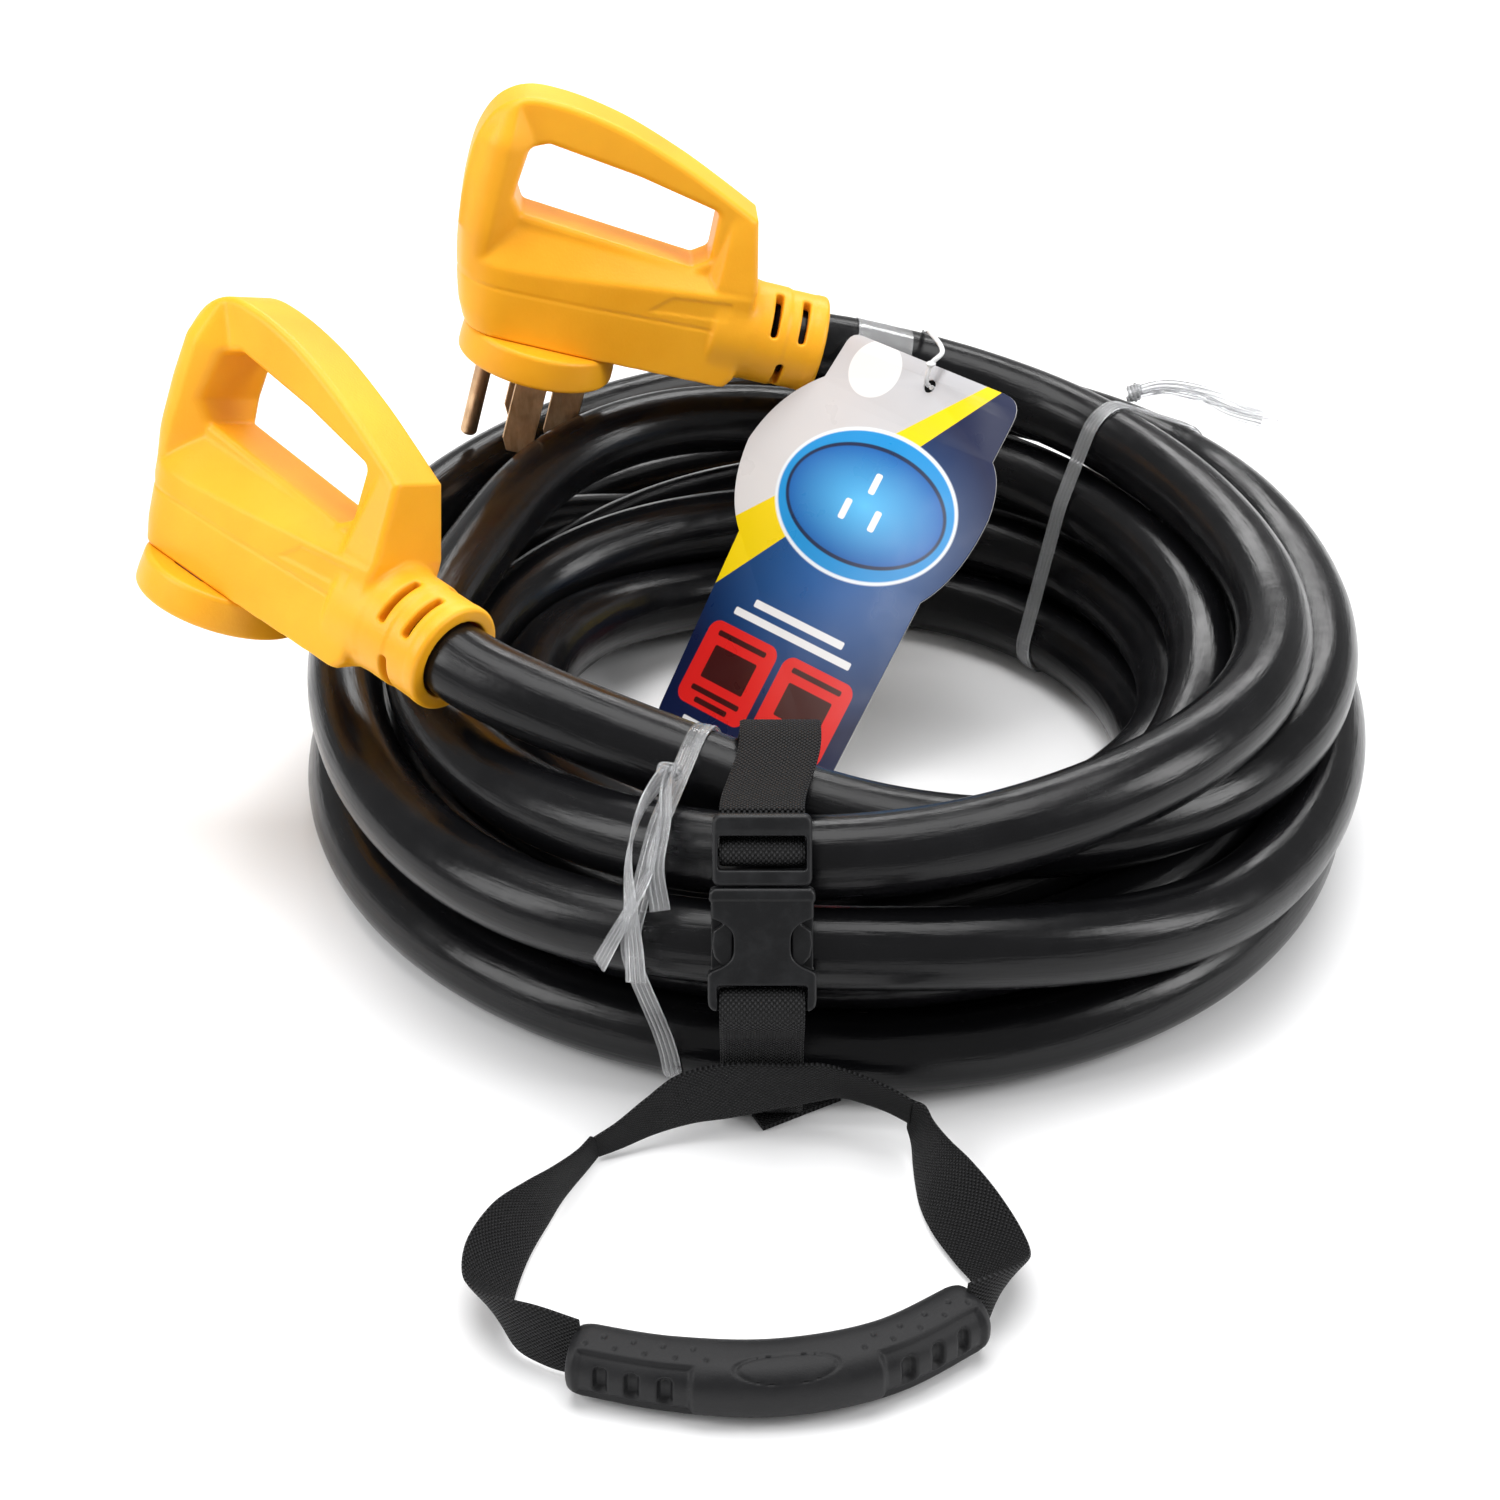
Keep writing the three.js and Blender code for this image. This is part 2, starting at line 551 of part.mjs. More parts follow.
function makeTag(assembly) {
  const across = v3(...TAG_ACROSS).normalize();
  const up = v3(...TAG_UP);
  up.addScaledVector(across, -up.dot(across)).normalize();
  const out = new THREE.Vector3().crossVectors(across, up);
  const tag = new THREE.Group();
  tag.quaternion.setFromRotationMatrix(new THREE.Matrix4().makeBasis(across, up, out));
  tag.position.set(...TAG_FOOT);
  tag.add(meshOf('hang_tag', plate(tagOutline(), 0, TAG_T), printedCard));
  assembly.add(tag);

  // the clear fastener: through the hole, over the edge of the card and round the top turn of cord
  tag.updateMatrix();
  const inTag = (up_, out_) => v3(TAG_HOLE[0], TAG_HOLE[1] + up_, TAG_T / 2 + out_).applyMatrix4(tag.matrix);
  const round = [[39, 100, 133], [39, 118, 125], [39, 132, 119.5], [38.5, 141.5, 108], [38, 139, 95],
    [37.5, 127, 89], [37.5, 112, 95], [37.6, 95, 107.5]];
  const line = [inTag(0, 1.2), inTag(0.5, 3.4), inTag(7, 6), inTag(13, 3), ...round.map((p) => v3(...p)),
    inTag(0, -4), inTag(0, -1)];
  assembly.add(meshOf('tag_loop', tube(line.map((p) => p.toArray()), 0.9, 34, 8), clearVinyl));
}

// ---- assembly: the origin is at the middle of the bottom of the whole object ---------------------
const assembly = new THREE.Group();
assembly.add(makePlug(), makeConnector());
makeCord(assembly);
makeTies(assembly);
makeStrap(assembly);
makeBuckle(assembly);
makeHandle(assembly);
makeTag(assembly);

const whole = new THREE.Box3().setFromObject(assembly, true);
const centre = whole.getCenter(new THREE.Vector3());
assembly.position.set(-centre.x, -centre.y, -whole.min.z);

const shorePowerCord = new THREE.Group();
shorePowerCord.add(assembly);

export default shorePowerCord;
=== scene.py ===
"""The looks of a coiled 50 A shore power cord: plug, connector, cord, ties, strap, handle and hang tag.

Shapes are worked out in millimetres in the coil's own frame (X right, Y away, Z up, the origin on the
floor at the coil's centre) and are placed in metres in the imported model's frame.
"""
import math

import bmesh
import bpy
import numpy as np
import openvdb
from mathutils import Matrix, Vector


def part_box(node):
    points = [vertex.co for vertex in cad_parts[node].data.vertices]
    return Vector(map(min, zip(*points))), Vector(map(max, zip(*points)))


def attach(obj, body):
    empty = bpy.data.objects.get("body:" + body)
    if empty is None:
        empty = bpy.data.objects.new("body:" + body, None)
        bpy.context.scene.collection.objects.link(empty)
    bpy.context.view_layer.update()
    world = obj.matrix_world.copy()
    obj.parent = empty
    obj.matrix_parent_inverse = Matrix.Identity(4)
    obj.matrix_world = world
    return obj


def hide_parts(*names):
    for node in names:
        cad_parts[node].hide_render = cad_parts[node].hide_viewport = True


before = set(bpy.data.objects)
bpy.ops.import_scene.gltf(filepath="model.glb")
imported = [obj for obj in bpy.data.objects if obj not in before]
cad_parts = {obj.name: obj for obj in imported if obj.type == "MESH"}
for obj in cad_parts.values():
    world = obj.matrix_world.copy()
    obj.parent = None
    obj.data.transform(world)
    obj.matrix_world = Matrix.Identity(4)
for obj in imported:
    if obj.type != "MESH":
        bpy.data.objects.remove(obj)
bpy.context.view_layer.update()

MM = 0.001
low_corner, high_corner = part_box("cord_coil")
COIL = np.array([(low_corner.x + high_corner.x) / 2, (low_corner.y + high_corner.y) / 2, 0.0]) / MM
ROOT = "coiled_cord"

# ---- driving dimensions, millimetres and degrees -------------------------------------------------
CORD_D = 26.7
CORD_R = CORD_D / 2
PLUG_AT = (-114, 119, 112)
PLUG_TURN = (2, 15.4, -4.5)              # about Z, Y and X
CONNECTOR_AT = (-216, -27, 89.5)
CONNECTOR_TURN = (-42, 8, -21.5)
FACE_R = 30.5
FACE_H = 13
AXIS_Z = 33                              # height of the cord's axis over the face
BODY_END = 75
MOUTH_X = 106
RELIEF_R = 19.7
BORE_R = CORD_R + 0.6
BLADE_W = 12.3
BLADE_T = 1.9
PIN_R = 3.3
PIN_L = 36
TAIL_H = 17
HOT_Y = 17
NEUTRAL_X = 16
GROUND_X = -18.5
GAP = 0.3
STRAP_W = 26
STRAP_T = 1.6
STRAP_X = -26
BUCKLE_AT = (STRAP_X, -188.5, 85.4)
BUCKLE_LEAN = -30.6
TAG_W = 86
TAG_L = 167
TAG_T = 0.8
TAG_FOOT = (-66.5, 35.5, 0.5)
TAG_ACROSS = (0.71456, -0.69957, 0)
TAG_UP = (0.45688, 0.46667, 0.75728)
TAG_HOLE = (45, 159)


# ---- geometry helpers ----------------------------------------------------------------------------
def turned(at, turn):
    """the place and axes of a part turned about Z, then Y, then X"""
    yaw, pitch, roll = (math.radians(angle) for angle in turn)
    about_z = [[math.cos(yaw), -math.sin(yaw), 0], [math.sin(yaw), math.cos(yaw), 0], [0, 0, 1]]
    about_y = [[math.cos(pitch), 0, math.sin(pitch)], [0, 1, 0], [-math.sin(pitch), 0, math.cos(pitch)]]
    about_x = [[1, 0, 0], [0, math.cos(roll), -math.sin(roll)], [0, math.sin(roll), math.cos(roll)]]
    return np.array(at, float), np.array(about_z) @ np.array(about_y) @ np.array(about_x)


def place(points, pose):
    """points of a part's own frame, in the coil's frame"""
    at, axes = pose
    return at + np.asarray(points, float) @ axes.T


IN_COIL = (np.zeros(3), np.eye(3))
IN_STRAP = (np.array([STRAP_X, 0.0, 0.0]), np.eye(3))
PLUG = turned(PLUG_AT, PLUG_TURN)
CONNECTOR = turned(CONNECTOR_AT, CONNECTOR_TURN)
BUCKLE = turned(BUCKLE_AT, (0, 0, BUCKLE_LEAN))


def smooth(points, count):
    """evenly spaced points on a centripetal Catmull-Rom curve through the given ones"""
    p = np.asarray(points, float)
    p = np.vstack([2 * p[0] - p[1], p, 2 * p[-1] - p[-2]])
    fine = []
    for i in range(1, len(p) - 2):
        four = p[i - 1:i + 3]
        knots = np.concatenate([[0], np.cumsum(np.linalg.norm(np.diff(four, axis=0), axis=1) ** 0.5)])
        t = np.linspace(knots[1], knots[2], 16, endpoint=False)[:, None]
        k = knots
        first = [((k[j + 1] - t) * four[j] + (t - k[j]) * four[j + 1]) / (k[j + 1] - k[j]) for j in range(3)]
        second = [((k[j + 2] - t) * first[j] + (t - k[j]) * first[j + 1]) / (k[j + 2] - k[j]) for j in range(2)]
        fine.append(((k[2] - t) * second[0] + (t - k[1]) * second[1]) / (k[2] - k[1]))
    fine = np.vstack(fine + [p[-2][None]])
    run = np.concatenate([[0], np.cumsum(np.linalg.norm(np.diff(fine, axis=0), axis=1))])
    at = np.linspace(0, run[-1], count)
    return np.stack([np.interp(at, run, fine[:, k]) for k in range(p.shape[1])], 1)


def unit(v):
    return v / np.maximum(np.linalg.norm(v, axis=-1, keepdims=True), 1e-9)


def carried_frames(path, first):
    """a side and an upper direction at every point of a path, carried along it without twist"""
    along = unit(np.gradient(path, axis=0))
    side = np.empty_like(path)
    side[0] = unit(np.array(first, float) - along[0] * np.dot(first, along[0]))
    for i in range(1, len(path)):
        bare = side[i - 1] - along[i] * np.dot(side[i - 1], along[i])
        side[i] = unit(bare)
    return side, np.cross(along, side)


def make_object(name, points, faces, material, replaces, body=ROOT, pose=IN_COIL, smooth_angle=None,
                lay=None, slot=None):
    """a mesh object, placed in the row's frame, that rides on a body and stands for CAD nodes"""
    mesh = bpy.data.meshes.new(name)
    where = (place(points, pose) + COIL) * MM
    mesh.from_pydata(where.tolist(), [], [list(map(int, f)) for f in faces])
    if lay is not None:
        attribute = mesh.attributes.new("lay", "FLOAT_VECTOR", "POINT")
        attribute.data.foreach_set("vector", np.asarray(lay, np.float32).ravel())
    shape = bmesh.new()
    shape.from_mesh(mesh)
    bmesh.ops.recalc_face_normals(shape, faces=shape.faces)
    if smooth_angle is not None:
        for edge in shape.edges:
            if len(edge.link_faces) == 2 and edge.calc_face_angle(0) > smooth_angle:
                edge.smooth = False
    for face in shape.faces:
        face.smooth = True
    shape.to_mesh(mesh)
    shape.free()
    mesh.materials.append(material)
    piece = bpy.data.objects.new(name, mesh)
    bpy.context.scene.collection.objects.link(piece)
    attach(piece, body)
    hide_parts(*replaces)
    return piece


def recoloured(name, material):
    """a CAD node that stays as it is, in a better material"""
    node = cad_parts[name]
    node.data.materials.clear()
    node.data.materials.append(material)
    return node


def swept(path, sections, side, upper, closed=False):
    """a skin over sections carried along a path; sections is one outline or one for each point"""
    path = np.asarray(path, float)
    sections = np.asarray(sections, float)
    if sections.ndim == 2:
        sections = np.repeat(sections[None], len(path), axis=0)
    n, m = sections.shape[:2]
    points = path[:, None] + sections[..., :1] * side[:, None] + sections[..., 1:] * upper[:, None]
    rows = np.arange(n if closed else n - 1)
    i, j = np.meshgrid(rows, np.arange(m), indexing="ij")
    ahead, over = (i + 1) % n, (j + 1) % m
    quads = np.stack([i * m + j, ahead * m + j, ahead * m + over, i * m + over], -1).reshape(-1, 4)
    faces = quads.tolist()
    if not closed:
        faces += [list(range(m))[::-1], list(range((n - 1) * m, n * m))]
    return points.reshape(-1, 3), faces


def round_section(radius, sides):
    turn = np.linspace(0, 2 * math.pi, sides, endpoint=False)
    return np.stack([radius * np.cos(turn), radius * np.sin(turn)], 1)


def lathed(profile, sides):
    """a surface of revolution about Z from a profile of radius and height, closed at both ends"""
    turn = np.linspace(0, 2 * math.pi, sides, endpoint=False)
    profile = np.asarray(profile, float)
    ring = np.stack([np.cos(turn), np.sin(turn)], 1)
    points = np.concatenate([
        np.concatenate([r * ring, np.full((sides, 1), z)], 1) for r, z in profile
    ])
    i, j = np.meshgrid(np.arange(len(profile) - 1), np.arange(sides), indexing="ij")
    over = (j + 1) % sides
    faces = np.stack([i * sides + j, i * sides + over, (i + 1) * sides + over, (i + 1) * sides + j], -1)
    last = (len(profile) - 1) * sides
    return points, faces.reshape(-1, 4).tolist() + [list(range(sides)), list(range(last, last + sides))]


# ---- solid shapes as distance fields: negative inside, millimetres ---------------------------------
def grid(low, high, step):
    axes = [np.arange(a, b + step, step, dtype=np.float32) for a, b in zip(low, high)]
    return np.meshgrid(*axes, indexing="ij", sparse=True)


def surface(field, low, step):
    """the surface of a distance field as points and quads"""
    volume = openvdb.FloatGrid()
    volume.background = 4 * step
    volume.copyFromArray(np.clip(field, -4 * step, 4 * step).astype(np.float32))
    points, quads = volume.convertToQuads(isovalue=0.0)
    return np.asarray(low) + points.astype(float) * step, quads


def outline(corners, x, z):
    """distance to a closed outline in a plane"""
    inside = np.zeros(np.broadcast(x, z).shape, bool)
    nearest = np.full(inside.shape, 1e9)
    for (x0, z0), (x1, z1) in zip(corners, np.roll(corners, -1, axis=0)):
        dx, dz = x1 - x0, z1 - z0
        t = np.clip(((x - x0) * dx + (z - z0) * dz) / (dx * dx + dz * dz + 1e-12), 0, 1)
        nearest = np.minimum(nearest, (x - x0 - t * dx) ** 2 + (z - z0 - t * dz) ** 2)
        crosses = ((z0 <= z) & (z < z1)) | ((z1 <= z) & (z < z0))
        with np.errstate(divide="ignore", invalid="ignore"):
            inside ^= crosses & (x < x0 + (z - z0) * dx / (dz if dz else 1e-12))
    distance = np.sqrt(nearest)
    return np.where(inside, -distance, distance)


def both(a, b, radius):
    """what lies in both shapes, its edge rounded"""
    a, b = a + radius, b + radius
    return np.minimum(np.maximum(a, b), 0) + np.hypot(np.maximum(a, 0), np.maximum(b, 0)) - radius


def either(a, b, radius):
    """what lies in either shape, its inner corner filled"""
    mixed = np.clip(0.5 + 0.5 * (b - a) / radius, 0, 1)
    return b + (a - b) * mixed - radius * mixed * (1 - mixed)


def block(x, y, z, low, high, radius=0.0):
    q = [np.abs(v - (a + b) / 2) - (b - a) / 2 + radius for v, a, b in zip((x, y, z), low, high)]
    outside = np.sqrt(sum(np.maximum(v, 0) ** 2 for v in q))
    return outside + np.minimum(np.maximum(np.maximum(q[0], q[1]), q[2]), 0) - radius


def step_up(v, start, end):
    t = np.clip((v - start) / (end - start), 0, 1)
    return t * t * (3 - 2 * t)


def blurred(plane, width):
    """a map softened by a bell of the given width in cells"""
    reach = int(3 * width) + 1
    bell = np.exp(-0.5 * (np.arange(-reach, reach + 1) / width) ** 2)
    bell /= bell.sum()
    padded = np.pad(plane, reach, mode="edge")
    padded = np.apply_along_axis(lambda v: np.convolve(v, bell, "same"), 0, padded)
    padded = np.apply_along_axis(lambda v: np.convolve(v, bell, "same"), 1, padded)
    return padded[reach:-reach, reach:-reach]


# ---- materials -----------------------------------------------------------------------------------
class Finish:
    """one material, built node by node around a Principled shader"""

    def __init__(self, name, colour, roughness, **settings):
        self.material = bpy.data.materials.new(name)
        self.material.use_nodes = True
        self.material.diffuse_color = (*colour, 1)
        self.tree = self.material.node_tree
        self.shader = self.tree.nodes["Principled BSDF"]
        self.set(self.shader, "Base Color", (*colour, 1))
        self.set(self.shader, "Roughness", roughness)
        for key, value in settings.items():
            self.set(self.shader, key.replace("_", " ").title().replace("Ior", "IOR"), value)
        self.normal = None

    def set(self, node, socket, value):
        if hasattr(value, "is_output"):
            self.tree.links.new(value, node.inputs[socket])
        else:
            node.inputs[socket].default_value = value

    def node(self, kind, output=0, settings=None, **inputs):
        made = self.tree.nodes.new("ShaderNode" + kind)
        for key, value in (settings or {}).items():
            setattr(made, key, value)
        for key, value in inputs.items():
            self.set(made, int(key[1:]) if key[0] == "i" and key[1:].isdigit() else key.replace("_", " "), value)
        return made.outputs[output]

    def place(self, stretch=(1, 1, 1)):
        where = self.node("TexCoord", "Object")
        return self.node("Mapping", Vector=where, Scale=stretch)

    def lay(self):
        return self.node("Attribute", "Vector", {"attribute_name": "lay"})

    def lay_parts(self):
        parts = self.tree.nodes.new("ShaderNodeSeparateXYZ")
        self.tree.links.new(self.lay(), parts.inputs[0])
        return parts.outputs

    def math(self, operation, a, b=0.0, c=0.0):
        return self.node("Math", 0, {"operation": operation}, i0=a, i1=b, i2=c)

    def noise(self, where, scale, detail=3.0, rough=0.5):
        return self.node("TexNoise", 0, None, Vector=where, Scale=scale, Detail=detail, Roughness=rough)

    def spread(self, value, low, high, start=0.0, end=1.0):
        return self.node("MapRange", 0, None, i0=value, i1=low, i2=high, i3=start, i4=end)

    def mix(self, share, a, b):
        made = self.tree.nodes.new("ShaderNodeMix")
        made.data_type = "RGBA"
        sockets = [s for s in made.inputs if s.enabled]
        for socket, value in zip(sockets, (share, a, b)):
            if hasattr(value, "is_output"):
                self.tree.links.new(value, socket)
            else:
                socket.default_value = value if not isinstance(value, tuple) else (*value[:3], 1)
        return [s for s in made.outputs if s.enabled][0]

    def bump(self, height, strength, distance):
        settings = {"Normal": self.normal} if self.normal else {}
        self.normal = self.node("Bump", 0, None, Height=height, Strength=strength, Distance=distance, **settings)
        self.set(self.shader, "Normal", self.normal)

    def paint(self, colour):
        self.set(self.shader, "Base Color", colour)

    def gloss(self, roughness):
        self.set(self.shader, "Roughness", roughness)


def yellow_vinyl():
    f = Finish("yellow_vinyl", (0.95, 0.475, 0.017), 0.42, subsurface_weight=0.12, specular_ior_level=0.35)
    f.set(f.shader, "Subsurface Radius", (0.004, 0.002, 0.0006))
    f.set(f.shader, "Subsurface Scale", 1.0)
    where = f.place()
    broad = f.noise(where, 22, 4, 0.55)
    fine = f.noise(where, 900, 2, 0.6)
    colour = f.mix(f.spread(broad, 0.35, 0.7), (0.86, 0.375, 0.009), (0.95, 0.450, 0.016))
    scuff = f.spread(f.noise(f.place((1, 1, 3)), 130, 6, 0.7), 0.66, 0.8)
    f.paint(f.mix(f.math("MULTIPLY", scuff, 0.35), colour, (0.72, 0.33, 0.02)))
    f.gloss(f.spread(broad, 0.3, 0.75, 0.36, 0.5))
    f.bump(fine, 0.18, 0.0004)
    f.bump(broad, 0.10, 0.0015)
    return f.material


def black_jacket():
    f = Finish("jacket", (0.0045, 0.0046, 0.005), 0.2, specular_ior_level=0.24)
    along = f.node("Mapping", Vector=f.lay(), Scale=(1, 1, 0.09))
    streak = f.noise(along, 0.55, 5, 0.6)
    haze = f.noise(f.place(), 38, 5, 0.6)
    dust = f.spread(f.noise(f.place(), 1500, 2, 0.7), 0.70, 0.78)
    f.paint(f.mix(f.math("MULTIPLY", dust, 0.25), f.mix(haze, (0.0022, 0.0023, 0.0026), (0.006, 0.006, 0.007)),
                  (0.06, 0.06, 0.065)))
    rough = f.spread(haze, 0.3, 0.75, 0.13, 0.3)
    f.gloss(f.math("ADD", rough, f.spread(streak, 0.55, 0.8, 0.0, 0.12)))
    f.bump(streak, 0.16, 0.0012)
    f.bump(f.noise(f.place(), 55, 4, 0.5), 0.14, 0.0014)
    return f.material


def worn_bronze(name="bronze_blade", light=(0.80, 0.56, 0.34), dark=(0.42, 0.25, 0.13)):
    f = Finish(name, light, 0.38, metallic=1.0)
    where = f.place((1, 1, 0.25))
    streak = f.noise(where, 240, 6, 0.65)
    spots = f.noise(f.place(), 130, 5, 0.6)
    tone = f.mix(f.spread(streak, 0.3, 0.7), dark, light)
    f.paint(f.mix(f.spread(spots, 0.5, 0.72), tone, (0.50, 0.32, 0.20)))
    f.gloss(f.spread(spots, 0.3, 0.7, 0.3, 0.55))
    f.bump(streak, 0.25, 0.0003)
    return f.material


def core_plastic(name, colour):
    f = Finish(name, colour, 0.4)
    where = f.place()
    shade = f.noise(where, 160, 3)
    f.paint(f.mix(f.spread(shade, 0.3, 0.8), colour, tuple(0.75 * c + 0.02 for c in colour)))
    f.gloss(f.spread(shade, 0.3, 0.8, 0.32, 0.5))
    f.bump(f.noise(where, 700, 2), 0.1, 0.0003)
    return f.material


def buckle_plastic():
    f = Finish("buckle_plastic", (0.008, 0.0082, 0.009), 0.42, specular_ior_level=0.3)
    where = f.place()
    grain = f.noise(where, 1700, 2, 0.6)
    worn = f.noise(where, 120, 5, 0.65)
    f.paint(f.mix(f.spread(worn, 0.45, 0.8), (0.005, 0.0052, 0.006), (0.013, 0.0135, 0.015)))
    f.gloss(f.spread(worn, 0.3, 0.8, 0.34, 0.52))
    f.bump(grain, 0.22, 0.00025)
    return f.material


def grip_rubber():
    f = Finish("grip_rubber", (0.008, 0.008, 0.009), 0.52, specular_ior_level=0.28)
    where = f.place()
    grain = f.noise(where, 2200, 2, 0.6)
    rubbed = f.noise(where, 75, 5, 0.65)
    f.paint(f.mix(f.spread(rubbed, 0.4, 0.8), (0.006, 0.006, 0.007), (0.014, 0.014, 0.015)))
    f.gloss(f.spread(rubbed, 0.3, 0.8, 0.46, 0.62))
    f.bump(grain, 0.3, 0.0003)
    return f.material


WEAVE = 1.65                              # millimetres from cord to cord


def webbing():
    """a plain nylon weave: cords along the strip that dip by turns"""
    f = Finish("webbing", (0.010, 0.010, 0.011), 0.62, specular_ior_level=0.2)
    across, along, _ = f.lay_parts()
    warp = f.math("SINE", f.math("MULTIPLY", across, 2 * math.pi / WEAVE))
    column = f.math("MULTIPLY", f.math("FLOOR", f.math("DIVIDE", across, WEAVE / 2)), math.pi)
    picks = f.math("SINE", f.math("ADD", f.math("MULTIPLY", along, 2 * math.pi / WEAVE), column))
    thread = f.math("ADD", f.math("MULTIPLY", f.math("ABSOLUTE", warp), 0.45), f.math("MULTIPLY", picks, 0.55))
    fuzz = f.noise(f.place(), 2600, 3, 0.7)
    # painted shade and painted highlight: the weave's dips are painted near black where shade falls and its crests
    # paler as a painted highlight; fuzz varies the fibres' tone at random
    shade = f.spread(thread, -0.4, 0.9)
    f.paint(f.mix(shade, (0.0006, 0.0006, 0.0007), f.mix(fuzz, (0.012, 0.012, 0.013), (0.055, 0.055, 0.058))))
    f.gloss(f.spread(fuzz, 0.2, 0.8, 0.5, 0.75))
    f.bump(thread, 1.0, 0.0014)
    f.bump(fuzz, 0.25, 0.00015)
    return f.material


def clear_vinyl(name="clear_vinyl", transmission=0.86, colour=(0.93, 0.94, 0.95)):
    f = Finish(name, colour, 0.12, transmission_weight=transmission, ior=1.45)
    where = f.place()
    cloud = f.noise(where, 210, 4, 0.6)
    f.gloss(f.spread(cloud, 0.3, 0.75, 0.06, 0.24))
    f.paint(f.mix(f.spread(cloud, 0.3, 0.8), (0.95, 0.955, 0.96), (0.80, 0.81, 0.83)))
    f.bump(cloud, 0.2, 0.0006)
    return f.material


def printed_card():
    """glossy card: pale grey above a diagonal yellow stripe, blue below it, plain shapes for the print"""
    f = Finish("printed_card", (0.02, 0.09, 0.25), 0.3, specular_ior_level=0.35)
    u, v, front = f.lay_parts()

    def below(value, limit, soft=0.25):
        return f.spread(value, limit - soft, limit + soft, 1.0, 0.0)

    def slope(rise, start):
        return f.math("SUBTRACT", v, f.math("MULTIPLY_ADD", u, rise, start))

    def reach_of(du, dv):
        return f.math("SQRT", f.math("ADD", f.math("POWER", du, 2.0), f.math("POWER", dv, 2.0)))

    def rounded_box(cu, cv, half_u, half_v, corner):
        past = [f.math("MAXIMUM", f.math("SUBTRACT", f.math("ABSOLUTE", f.math("SUBTRACT", at, centre)),
                                         half - corner), 0.0)
                for at, centre, half in ((u, cu, half_u), (v, cv, half_v))]
        return below(reach_of(*past), corner, 0.15)

    def oval(cu, cv, half_u, half_v, soft=0.01):
        du = f.math("DIVIDE", f.math("SUBTRACT", u, cu), half_u)
        dv = f.math("DIVIDE", f.math("SUBTRACT", v, cv), half_v)
        reach = reach_of(du, dv)
        return below(reach, 1.0, soft), reach

    navy, blue = (0.006, 0.012, 0.055), (0.008, 0.10, 0.33)
    glow = reach_of(f.math("SUBTRACT", u, 46.0), f.math("SUBTRACT", v, 84.0))
    colour = f.mix(f.spread(glow, 12.0, 66.0), blue, navy)
    # a wedge of yellow that narrows as it rises, silver above it
    colour = f.mix(below(slope(1.40, 61.0), 0.0), (0.90, 0.66, 0.0), colour)
    silver = f.mix(f.spread(v, 90.0, 160.0), (0.72, 0.71, 0.71), (0.50, 0.50, 0.52))
    colour = f.mix(below(slope(1.07, 93.5), 0.0), silver, colour)
    for share, ink in (
        (oval(18.6, 157.0, 12.0, 11.4)[0], (0.76, 0.76, 0.77)),
        (oval(43.5, 108.0, 43.0, 29.5)[0], (0.80, 0.86, 0.92)),
        (oval(43.5, 108.0, 41.6, 28.1)[0], (0.010, 0.28, 0.66)),
        (oval(43.5, 108.0, 38.5, 23.0)[0], (0.006, 0.02, 0.07)),
    ):
        colour = f.mix(share, colour, ink)
    disc, reach = oval(43.5, 108.0, 37.0, 21.5)
    colour = f.mix(disc, colour, f.mix(f.spread(reach, 0.0, 1.0), (0.10, 0.52, 0.90), (0.006, 0.12, 0.42)))
    for cu, cv in ((43.5, 117), (36, 104), (51, 104)):
        colour = f.mix(rounded_box(cu, cv, 1.6, 4.2, 1.0), colour, (0.90, 0.90, 0.90))
    for cv, half_u in ((56.8, 23), (51, 30)):
        colour = f.mix(rounded_box(41.5, cv, half_u, 1.5, 0.7), colour, (0.86, 0.87, 0.88))
    for cu in (22, 61):
        colour = f.mix(rounded_box(cu, 27.8, 17.8, 17.2, 5), colour, (0.78, 0.018, 0.016))
        for cv, half_u, half_v in ((40.5, 12.5, 1.1), (29, 11, 6.8), (17.5, 12.5, 1.1), (13.5, 8.5, 1.1)):
            colour = f.mix(rounded_box(cu, cv, half_u, half_v, 0.8), colour, (0.05, 0.006, 0.006))
    colour = f.mix(rounded_box(32.5, 5.4, 20, 1.0, 0.5), colour, (0.80, 0.81, 0.82))
    paper = f.mix(f.noise(f.place(), 300, 3), (0.76, 0.75, 0.72), (0.86, 0.85, 0.83))
    f.paint(f.mix(front, paper, colour))
    soft = f.noise(f.place(), 60, 3)
    f.gloss(f.spread(soft, 0.3, 0.8, 0.26, 0.4))
    f.bump(soft, 0.06, 0.0015)
    f.bump(f.noise(f.place(), 1400, 2), 0.04, 0.0002)
    return f.material


YELLOW = yellow_vinyl()
JACKET = black_jacket()
BRONZE = worn_bronze()
COPPER = worn_bronze("copper_contact", (0.75, 0.42, 0.25), (0.45, 0.22, 0.12))
BUCKLE_BLACK = buckle_plastic()
RUBBER = grip_rubber()
WEBBING = webbing()
CLEAR = clear_vinyl()
CARD = printed_card()
CORES = {
    "black": core_plastic("core_black", (0.008, 0.008, 0.008)),
    "red": core_plastic("core_red", (0.45, 0.013, 0.010)),
    "white": core_plastic("core_white", (0.80, 0.80, 0.77)),
    "green": core_plastic("core_green", (0.012, 0.19, 0.042)),
}


# ---- camera, floor and lights --------------------------------------------------------------------
CAMERA_AT = (-29.7, -875.8, 593.4)        # millimetres from the coil's centre
CAMERA_DOWN = 33.73                       # degrees below the horizon
FLOOR_HALF = 6.0                          # metres, with the floor's height
FLOOR_Z = -0.0004


